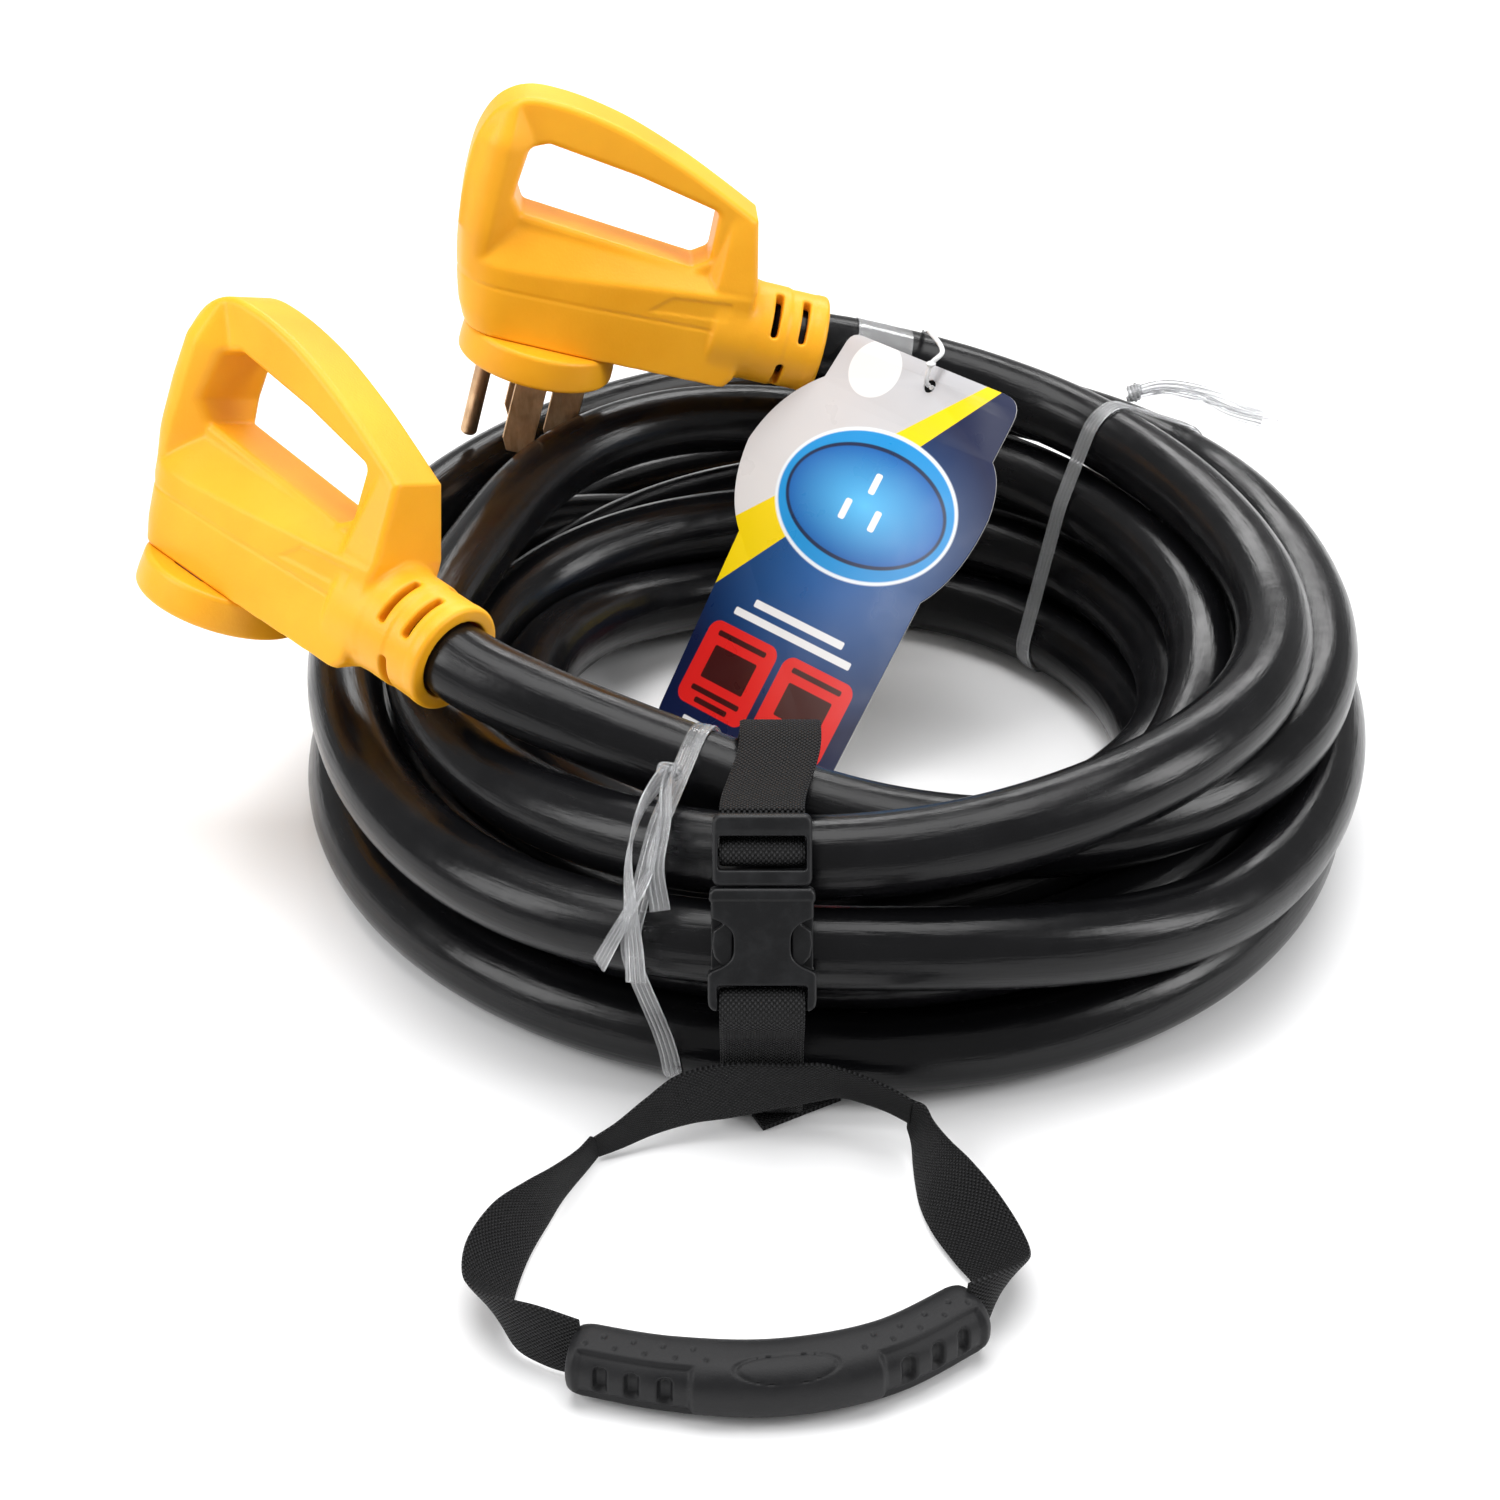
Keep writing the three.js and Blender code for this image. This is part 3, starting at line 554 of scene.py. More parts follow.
def make_camera():
    camera = bpy.data.objects.new("camera", bpy.data.cameras.new("camera"))
    bpy.context.scene.collection.objects.link(camera)
    camera.location = Vector((np.array(CAMERA_AT) + COIL) * MM)
    camera.rotation_euler = (math.radians(90 - CAMERA_DOWN), 0, 0)
    camera.data.lens = 67.27
    camera.data.sensor_width = 36
    camera.data.clip_start = 0.01
    camera.data.clip_end = 50
    bpy.context.scene.camera = camera


def area_light(name, at, aim, size, power):
    data = bpy.data.lights.new(name, "AREA")
    data.shape = "RECTANGLE"
    data.size, data.size_y = size
    data.energy = power
    light = bpy.data.objects.new(name, data)
    bpy.context.scene.collection.objects.link(light)
    light.location = at
    light.rotation_euler = (Vector(aim) - Vector(at)).to_track_quat("-Z", "Y").to_euler()


def make_stage():
    mesh = bpy.data.meshes.new("floor")
    corners = ((-1, -1), (1, -1), (1, 1), (-1, 1))
    mesh.from_pydata([(FLOOR_HALF * x, FLOOR_HALF * y, FLOOR_Z) for x, y in corners], [], [(0, 1, 2, 3)])
    floor = bpy.data.objects.new("floor", mesh)
    bpy.context.scene.collection.objects.link(floor)
    f = Finish("floor", (0.94, 0.94, 0.945), 0.6)
    f.gloss(f.spread(f.noise(f.place(), 3, 2), 0.2, 0.8, 0.55, 0.65))
    mesh.materials.append(f.material)

    world = bpy.data.worlds.new("studio")
    bpy.context.scene.world = world
    world.use_nodes = True
    world.node_tree.nodes["Background"].inputs[0].default_value = (1, 1, 1, 1)
    world.node_tree.nodes["Background"].inputs[1].default_value = 0.44
    bpy.context.scene.view_settings.view_transform = "Standard"
    area_light("overhead", (0.0, 0.2, 1.7), (0, 0, 0), (1.5, 1.1), 25)
    area_light("left_box", (-1.5, -0.5, 1.1), (0, 0.05, 0.05), (0.7, 1.1), 17)
    area_light("right_box", (1.5, -0.3, 0.9), (0, 0.05, 0.05), (0.5, 0.9), 14)
    area_light("back_strip", (0.3, 1.5, 1.2), (0, 0.1, 0.05), (1.4, 0.35), 13)


make_camera()
make_stage()

# ---- the cord ------------------------------------------------------------------------------------
# the route's knots, lap by lap: angle round the coil, radius and height of the cord's axis
LAPS = [
    [(91.5, 125, 115.5), (76, 131.5, 106.5), (62, 138.5, 98.5), (50, 142.5, 93.5), (36, 142, 90.5), (17, 143, 89.5),
     (0, 150, 88.5), (-18, 160, 88), (-32, 165, 88), (-46, 167, 87.5), (-61, 168, 86.5), (-73, 170, 86),
     (-84, 173.5, 85), (-99, 172.5, 82), (-110, 167, 77), (-122, 162, 73.5), (-134, 160, 71),
     (-148, 154, 69.5), (-160, 153, 69), (-180, 143, 69), (-191, 137, 70), (-207, 138, 73),
     (-224, 145, 77.5), (-242, 147, 79), (-258, 143, 77), (-270, 138.5, 74)],
    [(0, 132, 64), (-84, 144, 39), (-180, 139, 37), (-270, 127, 37)],
    [(0, 134, 37), (-84, 119, 40), (-180, 112, 38), (-270, 113, 14)],
    [(0, 121, 13.35), (-84, 130, 13.35), (-180, 125, 13.35), (-270, 139.5, 13.35)],
    [(0, 148, 13.35), (-84, 157, 13.35), (-180, 153, 13.35), (-225, 146, 24), (-270, 153.5, 37)],
    [(0, 161, 37), (-84, 171, 38), (-180, 166, 36), (-225, 173, 24), (-270, 167, 13.35)],
    [(0, 175, 13.35), (-48, 182.5, 13.35), (-84, 183, 13.35), (-117, 179, 13.35), (-146, 180.5, 13.35),
     (-167, 180, 13.35), (-200, 180, 14), (-235, 184, 22), (-270, 187, 30), (-310, 183, 34),
     (-340, 177.5, 36), (-358, 176, 37)],
    [(-20, 178.5, 37), (-35, 184, 38), (-53, 190.5, 43), (-65, 189, 51), (-84, 186, 60), (-112, 188, 57.5),
     (-120, 188.5, 56), (-132, 186, 54.5), (-150, 179.5, 55), (-166, 175, 56), (-190, 175, 58),
     (-219, 180, 64), (-250, 182, 69), (-270, 183, 70), (-308, 182, 71), (-324, 182, 70.5),
     (-338, 179, 69)],
    [(8, 176, 68), (-10, 176, 67), (-29, 172, 65), (-43, 165, 64), (-57, 158, 66), (-75, 149, 72),
     (-83, 146, 75), (-91.6, 142.5, 79), (-99.6, 138, 84), (-109.7, 136.5, 88.5), (-118.6, 138, 93),
     (-130.2, 143, 98), (-138, 150.8, 101.3), (-144.2, 156.1, 105)],
]
FIRST_ANGLE = 92
STEP = 4                                  # degrees between the route's points
PER_TURN = 360 // STEP
SPACING = CORD_D + 0.2
ROUNDS = 900                              # of pushing the turns apart
EASINGS = 12                              # of the settled route, because stiff cord takes no kinks
PLUG_BORE_END = (-22.5, 124.4, 120.8)     # the cord's ends, 20 mm inside the strain reliefs
CONNECTOR_BORE = [(-126.7, -91.2, 105), (-141.4, -77.9, 107.8)]
PATH_STEP = 4.2                           # millimetres along the cord
CORE_LAY = 320                            # one turn of the laid-up cores


def knots_along():
    rows = [(FIRST_ANGLE - angle + 360 * lap, radius, height)
            for lap, knots in enumerate(LAPS) for angle, radius, height in knots]
    return np.array(rows, float).T


def settled_route():
    """the turns as wished for, then pushed apart until none lies closer than a cord's width"""
    turn, radius, height = knots_along()
    s = turn[0] + np.arange(int((turn[-1] - turn[0]) // STEP) + 1) * STEP

    def through(y):
        slope = np.gradient(y, turn)
        i = np.clip(np.searchsorted(turn, s) - 1, 0, len(turn) - 2)
        h = turn[i + 1] - turn[i]
        t = (s - turn[i]) / h
        return ((2 * t**3 - 3 * t**2 + 1) * y[i] + (t**3 - 2 * t**2 + t) * h * slope[i]
                + (-2 * t**3 + 3 * t**2) * y[i + 1] + (t**3 - t**2) * h * slope[i + 1])

    wish = np.stack([through(radius), through(height)], 1)
    at = wish.copy()
    angle = np.radians(FIRST_ANGLE - s)
    seen = (s < 330) | (s > 2260)
    hold = np.where(seen, 0.10, 0.02)
    hold[:8] = hold[-8:] = 1
    over_strap = np.exp(-((at[:, 0] * np.cos(angle) - STRAP_X) / 26) ** 4) * (np.sin(angle) < 0)
    floor = CORD_R + 2 * over_strap
    for number in range(ROUNDS):
        off = at - wish
        bend = np.zeros_like(off)
        bend[1:-1] = 0.5 * (off[:-2] + off[2:]) - off[1:-1]
        off = (off + 0.45 * bend) * (1 - hold[:, None] * (1 if number < 0.7 * ROUNDS else 0.4))
        at = wish + off
        for _ in range(2):
            for lap in range(1, len(LAPS)):
                shift = lap * PER_TURN
                if shift >= len(at):
                    break
                apart = at[shift:] - at[:-shift]
                gap = np.hypot(apart[:, 0], apart[:, 1])
                push = apart / np.maximum(gap, 1e-6)[:, None] * ((SPACING - gap) * 0.45)[:, None]
                push[gap >= SPACING] = 0
                at[:-shift] -= push
                at[shift:] += push
            at[:, 1] = np.maximum(at[:, 1], floor)
            at[:6], at[-6:] = wish[:6], wish[-6:]
    for _ in range(EASINGS):
        at[1:-1] = 0.25 * at[:-2] + 0.5 * at[1:-1] + 0.25 * at[2:]
        at[:, 1] = np.maximum(at[:, 1], floor)
    return s, at


ROUTE_S, ROUTE = settled_route()


def strands_at(angle):
    """radius and height of every strand where it crosses the upright plane at that angle"""
    found = []
    for lap in range(-1, len(LAPS) + 1):
        turn = FIRST_ANGLE - angle + 360 * lap
        if ROUTE_S[0] <= turn <= ROUTE_S[-1]:
            found.append([np.interp(turn, ROUTE_S, ROUTE[:, k]) for k in (0, 1)])
    return np.array(found)


def make_cord():
    angle = np.radians(FIRST_ANGLE - ROUTE_S)
    turns = np.stack([ROUTE[:, 0] * np.cos(angle), ROUTE[:, 0] * np.sin(angle), ROUTE[:, 1]], 1)
    knots = np.vstack([[PLUG_BORE_END], turns, CONNECTOR_BORE])
    run = np.linalg.norm(np.diff(knots, axis=0), axis=1).sum()
    path = smooth(knots, int(run / PATH_STEP))
    side, upper = carried_frames(path, (0, 0, 1))
    turn = np.linspace(0, 2 * math.pi, 30, endpoint=False)
    along = np.linspace(0, run, len(path))[:, None]
    # the four laid-up cores show faintly through the jacket
    swell = 0.10 * np.cos(4 * turn[None] - 2 * math.pi * along / CORE_LAY)
    radius = CORD_R - 0.05 + swell
    sections = np.stack([radius * np.cos(turn), radius * np.sin(turn)], -1)
    points, faces = swept(path, sections, side, upper)
    ring = np.stack([np.broadcast_to(CORD_R * np.cos(turn), radius.shape),
                     np.broadcast_to(CORD_R * np.sin(turn), radius.shape),
                     np.broadcast_to(along, radius.shape)], -1)
    cord = make_object("cord", points, faces, JACKET, ("cord_coil", "cord_plug_lead", "cord_connector_lead"),
                       lay=ring.reshape(-1, 3))


# ---- plug and connector --------------------------------------------------------------------------
def side_outline():
    back = [(-30.5, FACE_H - 5), (-31.6, FACE_H + GAP), (-34.5, 20), (-38.6, 35), (-41, 50), (-42.4, 70),
            (-41.2, 86), (-36, 97.5), (-27, 103.6), (-14, 104.8), (9.5, 101.6), (35, 93.6), (53, 86.2), (69, 79)]
    front = [(75.4, 53), (BODY_END, 17), (72.5, FACE_H + GAP), (71, FACE_H - 5)]
    return np.vstack([smooth(back, 90), front])


def hole_outline():
    """the finger hole, drawn 3 mm small: the distance field rounds it back up"""
    return np.array([(-20, 68), (-17, 63.2), (48, 58.4), (51.6, 61), (50.8, 76), (21, 81.6), (-14, 85.6),
                     (-18.5, 83.5)])


def half_widths(x, z):
    """half the moulding's thickness over its side view"""
    left = np.interp(z, (13, 20, 50, 70, 86, 98, 104), (-31.5, -35, -41.5, -42.9, -42, -38, -34))
    crease = np.interp(x, (-40, -12, 56, 75), (40, 41, 48.5, 50.5))
    sill = np.interp(x, (-20, -16, 49, 60), (61, 60.7, 57, 57))
    wide = np.interp(x, (-16, 15, 75), (20.4, 20.4, 17.2))
    reach = np.clip((x + 16) / np.minimum(left + 16, -1), 0, 1)
    wide = np.where(x < -16, 20.4 * (1 - reach**2.3) ** (1 / 2.3), wide)
    slant = wide + (8.0 - wide) * np.clip((z - crease) / (sill - crease), 0, 1.5)
    body = np.where(z < crease, wide, np.minimum(slant, wide))
    body = np.where(z > sill + 4, 0, body)

    centre = -28.5
    leg_half = 18.6 - 7.4 * step_up(z, 84, 106) - 2.0 * (1 - step_up(z, 36, 56))
    outward = np.clip((x - centre) / np.minimum(left - centre, -1), 0, 1)
    round_side = leg_half * (1 - outward**2.2) ** (1 / 2.2)
    facet = leg_half - 0.75 * (x - centre)
    leg = np.where(x < centre, round_side, facet)
    leg = np.where((z > 34) & (x < -8), leg, 0)

    bar = np.where(z > 50, 11.4, 0)
    post = 11.4 + 5.4 * np.clip((79 - z) / 27, 0, 1) - 1.1 * np.clip(60 - x, 0, 6)
    post = np.where((x > 50) & (z > 48), post, 0)
    return np.maximum(np.maximum(body, leg), np.maximum(bar, post))


def shell_mesh():
    step = 0.6
    low = (-46, -24, 11)
    x, y, z = grid(low, (109, 24, 108), step)
    flat_x, flat_z = x[:, 0, :], z[:, 0, :]
    side = outline(side_outline(), flat_x, flat_z)
    hole = outline(hole_outline(), flat_x, flat_z) - 3
    side = both(side, -hole, 1.5)
    half = blurred(half_widths(*np.broadcast_arrays(flat_x, flat_z)), 1.3)
    body = both(side[:, None, :], np.abs(y) - half[:, None, :], 2.6)

    # the line where the two halves of the moulding meet, and a plain sunk panel on each side
    line = 0.42 * np.exp(-((z - 33 - 0.03 * x) / 0.55) ** 2) * (x < BODY_END - 1)
    panel_at = np.array([(36, 37.4), (67, 39.8), (67, 47), (44, 44.6)])
    panel = outline(panel_at, flat_x, flat_z)[:, None, :]
    body = body + line + 0.5 * step_up(-panel, -0.3, 0.5)

    from_axis = np.hypot(y, z - AXIS_Z)
    girth = RELIEF_R - 0.5 * step_up(x, 89.5, 91.5) - 0.4 * step_up(x, 76, 80) + 0.25 * step_up(x, 100.5, 102)
    relief = both(from_axis - girth, np.abs(x - 84) - (MOUTH_X - 84), 1.8)
    shape = either(body, relief, 2.2)

    around = np.arctan2(y, z - AXIS_Z)
    for number in range(4):               # two slots and one in turn, a quarter turn apart
        centre = math.radians(45 + 90 * number)
        arc = np.abs((around - centre + math.pi) % (2 * math.pi) - math.pi) * (RELIEF_R - 0.5)
        for row in ((85.5, 96.5) if number % 2 else (91,)):
            slot = np.hypot(np.maximum(arc - 8.6, 0), x - row) - 1.45
            shape = both(shape, -slot, 0.7)
    bore = np.maximum(from_axis - BORE_R, 40 - x)
    shape = both(shape, -bore, 0.6)
    shape = np.maximum(shape, -block(x, y, z, (-24, -15.5, 5), (54, 15.5, 20)))
    shape = np.maximum(shape, -block(x, y, z, (-8, -18.6, 5), (8, 18.6, 20)))
    shape = np.maximum(shape, -block(x, y, z, (-22, -13.5, 19), (58, 13.5, 47)))
    return surface(both(shape, FACE_H + GAP - z, 0.3), low, step)


POLES = {"hot_left": (0, -HOT_Y), "hot_right": (0, HOT_Y), "neutral": (NEUTRAL_X, 0), "ground": (GROUND_X, 0)}


def face_mesh(socket):
    """the round face block: blade slots in the plug, eased contact openings in the connector"""
    step = 0.5
    low = (-33, -33, -2)
    x, y, z = grid(low, (33, 33, 15), step)
    from_axis = np.hypot(x, y)
    taper = FACE_R - 0.5 * step_up(z, 4, 13)
    shape = both(from_axis - taper, np.abs(z - FACE_H / 2) - FACE_H / 2, 1.9)
    shape = shape + 0.35 * np.exp(-((from_axis - 25.5) / 0.6) ** 2) * (z < 3)
    for name, (px, py) in POLES.items():
        away = np.hypot(x - px, y - py)
        if name == "ground":
            hole = away - (3.6 if socket else PIN_R + GAP)
            if socket:
                hole = np.minimum(hole, np.maximum(away - 4.8, 4 - z))
        else:
            half = (6.7, 1.4) if socket else (BLADE_W / 2 + GAP, BLADE_T / 2 + GAP)
            hole = block(x, y, z, (px - half[0], py - half[1], -5), (px + half[0], py + half[1], 20))
            if socket:
                hole = np.minimum(hole, block(x, y, z, (px - 7, py - 2.7, 4), (px + 7, py + 2.7, 20)))
        shape = both(shape, -hole, 0.5)
    return surface(shape, low, step)


def rounded_profile(radius, start, end, ease):
    """a rod's profile with a rounded lower end"""
    turn = np.linspace(0, math.pi / 2, 7)
    tip = [(max(radius - ease + ease * math.sin(a), 0.05), start + ease - ease * math.cos(a)) for a in turn]
    return [(0.05, start)] + tip + [(radius, end - 0.3), (radius - 0.3, end)]


def make_ends():
    shell = shell_mesh()
    pieces = {}
    for end, pose in (("plug", PLUG), ("connector", CONNECTOR)):
        pieces[end] = [
            make_object(f"{end}_grip_shell", *shell, YELLOW, (f"{end}_shell",), pose=pose),
            make_object(f"{end}_face", *face_mesh(end == "connector"), YELLOW, (f"{end}_face_block",), pose=pose),
        ]
        pieces[end] += [recoloured(f"{end}_{core}_conductor", material) for core, material in CORES.items()]
    for name in POLES:
        if name != "ground":
            recoloured(f"plug_{name}_blade", BRONZE)
        pieces["connector"].append(recoloured(f"connector_{name}_contact", COPPER))
    points, faces = lathed(rounded_profile(PIN_R, -PIN_L, TAIL_H, 1.9), 40)
    make_object("ground_pin", points + [GROUND_X, 0, 0], faces, BRONZE, ("plug_ground_pin",), pose=PLUG,
                smooth_angle=0.7)
    return pieces


ENDS = make_ends()
make_cord()


def make_wrap_band():
    """a turn and a bit of clear film round the cord beside the plug: out along it, back inside"""
    pose = turned((9, 125.5, 112.1), (2, 15.6, 0))
    turn = np.linspace(0, 2 * math.pi, 64, endpoint=False)
    along = np.linspace(0, 22, 24)[:, None]
    ripple = 0.05 * np.sin(3 * turn[None] + 0.35 * along) + 0.04 * np.sin(7 * turn[None])
    radius = np.concatenate([CORD_R + 1.05 + ripple, (CORD_R + 0.72 + ripple * 0.5)[::-1]])
    sections = radius[..., None] * np.stack([np.cos(turn), np.sin(turn)], -1)
    path = np.concatenate([along, along[::-1]]) * [1, 0, 0]
    side, upper = np.tile([0.0, 1, 0], (len(path), 1)), np.tile([0.0, 0, 1], (len(path), 1))
    points, faces = swept(path, sections, side, upper, closed=True)
    make_object("cord_wrap_film", points, faces, CLEAR, ("cord_wrap_band",), pose=pose, smooth_angle=0.9)


make_wrap_band()


# ---- ties ----------------------------------------------------------------------------------------
def ribbed_section(width=6.4, ribs=4, thin=0.55, thick=1.25, count=14):
    """a flat clear strip with round ribs: its section as an outline"""
    x = np.linspace(-width / 2, width / 2, count * ribs)
    wave = np.abs(np.cos(math.pi * (x + width / 2) / (width / ribs) + math.pi / 2))
    half = (thin + (thick - thin) * wave**1.5) / 2
    return np.concatenate([np.stack([x, half], 1), np.stack([x[::-1], -half[::-1]], 1)])


def hull(points):
    """the convex outline round points in a plane, anticlockwise"""
    points = points[np.lexsort((points[:, 1], points[:, 0]))]

    def half(run):
        kept = []
        for p in run:
            while len(kept) > 1 and np.cross(kept[-1] - kept[-2], p - kept[-2]) <= 0:
                kept.pop()
            kept.append(p)
        return kept[:-1]

    return np.array(half(points) + half(points[::-1]))


def tie_loop(angle, skew):
    """the taut loop round the bundle in an upright plane; skew turns its outer, lower side"""
    turn = np.linspace(0, 2 * math.pi, 48, endpoint=False)
    reach = CORD_R + 0.75
    strands = strands_at(angle)
    rim = (strands[:, None] + reach * np.stack([np.cos(turn), np.sin(turn)], -1)).reshape(-1, 2)
    line = hull(rim)
    line[:, 1] = np.maximum(line[:, 1], 0.75)
    closed = np.vstack([line, line[:1]])
    run = np.concatenate([[0], np.cumsum(np.linalg.norm(np.diff(closed, axis=0), axis=1))])
    at = np.linspace(0, run[-1], 260, endpoint=False)
    line = np.stack([np.interp(at, run, closed[:, k]) for k in (0, 1)], 1)
    for _ in range(3):
        line = 0.25 * np.roll(line, 1, 0) + 0.5 * line + 0.25 * np.roll(line, -1, 0)
    outer = step_up(line[:, 0], 150, 195) * step_up(-line[:, 1], -70, -10)
    theta = np.radians(angle + skew * outer)
    radial = np.stack([np.cos(theta), np.sin(theta), 0 * theta], 1)
    path = radial * line[:, :1] + [0, 0, 1] * line[:, 1:]
    along = unit(np.roll(path, -1, 0) - np.roll(path, 1, 0))
    tangent = np.stack([-np.sin(theta), np.cos(theta), 0 * theta], 1)
    out = unit(np.cross(tangent, along))
    side = np.cross(along, out)
    return path, side, out


def ribbon(knots, twist_start, twist_end, first, count=70):
    """a loose ribbed strip along a free path that turns on its own axis as it goes"""
    path = smooth(knots, count)
    side, upper = carried_frames(path, first)
    twist = np.radians(np.linspace(twist_start, twist_end, count))[:, None]
    side, upper = np.cos(twist) * side + np.sin(twist) * upper, np.cos(twist) * upper - np.sin(twist) * side
    return swept(path, ribbed_section(), side, upper)


def joined(parts):
    """several closed skins as one mesh"""
    points, faces, offset = [], [], 0
    for part_points, part_faces in parts:
        points.append(part_points)
        faces += [[i + offset for i in f] for f in part_faces]
        offset += len(part_points)
    return np.vstack(points), faces


def polar(radius, angle, height):
    """a place given by its angle round the coil"""
    return (radius * math.cos(math.radians(angle)), radius * math.sin(math.radians(angle)), height)


def knot_wraps(centre, axis, radius=2.6, turns=2):
    """the strip drawn tight round itself"""
    axis = unit(np.array(axis, float))
    side = unit(np.cross(axis, (0.3, 0.2, 1)))
    upper = np.cross(axis, side)
    turn = np.linspace(0, 2 * math.pi * turns, 60)
    drift = np.linspace(-2.0, 2.0, 60)
    lump = radius + 0.4 * np.sin(2.3 * turn)
    path = (np.array(centre) + axis * drift[:, None] + side * (lump * np.cos(turn))[:, None]
            + upper * (lump * 0.75 * np.sin(turn))[:, None])
    return swept(path, ribbed_section(2.8, 2, 0.9, 1.5, 10), *carried_frames(path, axis))


def make_ties():
    path, side, out = tie_loop(-109.5, 3.2)
    loop = swept(path, ribbed_section(), side, out, closed=True)
    knot = polar(161, -110, 101.5)
    tails = [
        [knot, polar(170, -109.6, 100.5), polar(181, -108.6, 96), polar(191, -108.4, 86),
         polar(199.5, -109.4, 76), polar(204.5, -110.6, 66), polar(206.5, -111.7, 57)],
        [knot, polar(169, -110.4, 101.5), polar(179, -110.8, 98), polar(190, -110.6, 89),
         polar(200, -109.4, 78), polar(206.5, -108.4, 66), polar(208.5, -108.1, 55)],
    ]
    front = [loop, knot_wraps(knot, np.subtract(tails[0][1], knot))]
    front.append(ribbon(tails[0], 80, 20, (0.9, -0.3, 0.2)))
    front.append(ribbon(tails[1], 100, -15, (0.9, -0.3, 0.2)))
    front.append(ribbon([np.add(p, (1.5, -1.0, 1.2)) for p in tails[0][:4]] + [polar(198, -106.8, 76)],
                        60, -10, (0.9, -0.3, 0.2), count=50))
    make_object("clear_tie_front", *joined(front), CLEAR, ("tie_front",), smooth_angle=1.2)

    path, side, out = tie_loop(40, 0)
    loop = swept(path, ribbed_section(), side, out, closed=True)
    knot = polar(170, 44.5, 98)
    tails = [
        [knot, polar(178, 42, 100.5), polar(190, 38.5, 98), polar(199, 34, 95.5), polar(207, 31.0, 95)],
        [knot, polar(177, 43, 98), polar(188, 40.5, 97), polar(196, 36, 92), polar(204.5, 33.0, 90)],
    ]
    back = [loop, knot_wraps(knot, np.subtract(tails[0][1], knot), 3.4, 3)]
    back += [ribbon(t, a, b, (0, 0, 1)) for t, a, b in ((tails[0], 20, -60), (tails[1], 70, 10))]
    make_object("clear_tie_back", *joined(back), CLEAR, ("tie_back",), smooth_angle=1.2)


make_ties()


# ---- strap, buckle and carry handle ----------------------------------------------------------------
def strip_section(width, thickness, count=22):
    """webbing's section: flat, with slightly thicker rolled edges"""
    x = np.linspace(-width / 2, width / 2, count)
    edge = np.clip((np.abs(x) - width / 2 + 1.6) / 1.6, 0, 1)
    half = thickness / 2 * (1 + 0.12 * edge) * np.sqrt(np.clip(1 - edge**6 * 0.85, 0, 1))
    top = np.stack([x, half], 1)
    return np.concatenate([top, top[::-1] * [1, -1]])


def webbing_piece(name, path, side, out, section, replaces, width=1, body=ROOT, pose=IN_COIL):
    """a strip that carries its weave's own coordinates: across and along, in millimetres"""
    count = len(path)
    sections = np.repeat(section[None], count, axis=0)
    sections[..., 0] *= np.broadcast_to(width, count)[:, None]
    run = np.concatenate([[0], np.cumsum(np.linalg.norm(np.diff(path, axis=0), axis=1))])
    across, along = np.broadcast_arrays(section[None, :, 0] * STRAP_W / 2 / section[:, 0].max(), run[:, None])
    make_object(name, *swept(path, sections, side, out), WEBBING, replaces, body=body, pose=pose,
                smooth_angle=1.2, lay=np.stack([across, along, 0 * along], -1).reshape(-1, 3))


def strap_strip(name, line, count, replaces, body=ROOT, pose=IN_STRAP):
    """a strip 26 mm wide whose middle line lies in the upright plane across the coil's front"""
    flat = smooth(line, count)
    drift = 6 * step_up(flat[:, 0], -176, -132) * step_up(flat[:, 1], 60, 95)
    path = np.stack([drift, flat[:, 0], flat[:, 1]], 1)
    side = np.repeat([[1.0, 0.0, 0.0]], count, axis=0)
    upper = np.cross(unit(np.gradient(path, axis=0)), side)
    webbing_piece(name, path, side, upper, strip_section(STRAP_W, STRAP_T), replaces, body=body, pose=pose)


STRAP_RUN = [
    (-206.6, 58.7), (-209.6, 60.5), (-212, 60), (-213.8, 57.6), (-214.6, 53.5), (-212.3, 47.5), (-207.5, 41),
    (-203.8, 33), (-201.8, 20), (-201, 8.6), (-196.6, 2), (-186, 1),
    (-150, 1), (-118, 1), (-106, 1.6), (-100.8, 8), (-100.2, 30), (-101, 70), (-107.5, 82),
    (-114.5, 93), (-122, 101), (-131, 103), (-142, 102.6), (-158, 102.6), (-168, 103.6), (-177, 104.8),
]
# behind the tongue's top bar, round its crossbar and back in, in the buckle's own y and z
TONGUE_LOOP = [
    (-1.7, 23.3), (-1.7, 17), (-2.4, 14.4), (-4.6, 13), (-6.6, 12.4), (-7.5, 10.3), (-6.8, 8), (-5, 7),
    (-3.4, 6.6),
]
TAIL_CORNER = [(-25.5, -204.4), (-0.6, -190), (-4, -187.5), (-29, -197.5)]


def strap_tail():
    """the corner of the strap's loose end, which shows on the floor under the band"""
    rim = np.array(TAIL_CORNER)
    n = len(rim)
    points = np.concatenate([np.column_stack([rim, np.full(n, z)]) for z in (0.1, STRAP_T)])
    faces = [list(range(n))[::-1], list(range(n, 2 * n))]
    faces += [[i, (i + 1) % n, n + (i + 1) % n, n + i] for i in range(n)]
    lean = math.atan2(rim[1][1] - rim[0][1], rim[1][0] - rim[0][0])
    along = points[:, 0] * math.cos(lean) + points[:, 1] * math.sin(lean)
    across = points[:, 1] * math.cos(lean) - points[:, 0] * math.sin(lean)
    make_object("strap_tail_end", points, faces, WEBBING, ("strap_tail",), smooth_angle=0.6,
                lay=np.column_stack([across, along, 0 * along]))


strap_strip("strap_webbing", STRAP_RUN, 260, ("strap_run",))
strap_strip("tongue_webbing", TONGUE_LOOP, 60, ("strap_tongue_loop",), "buckle_tongue", BUCKLE)
strap_tail()


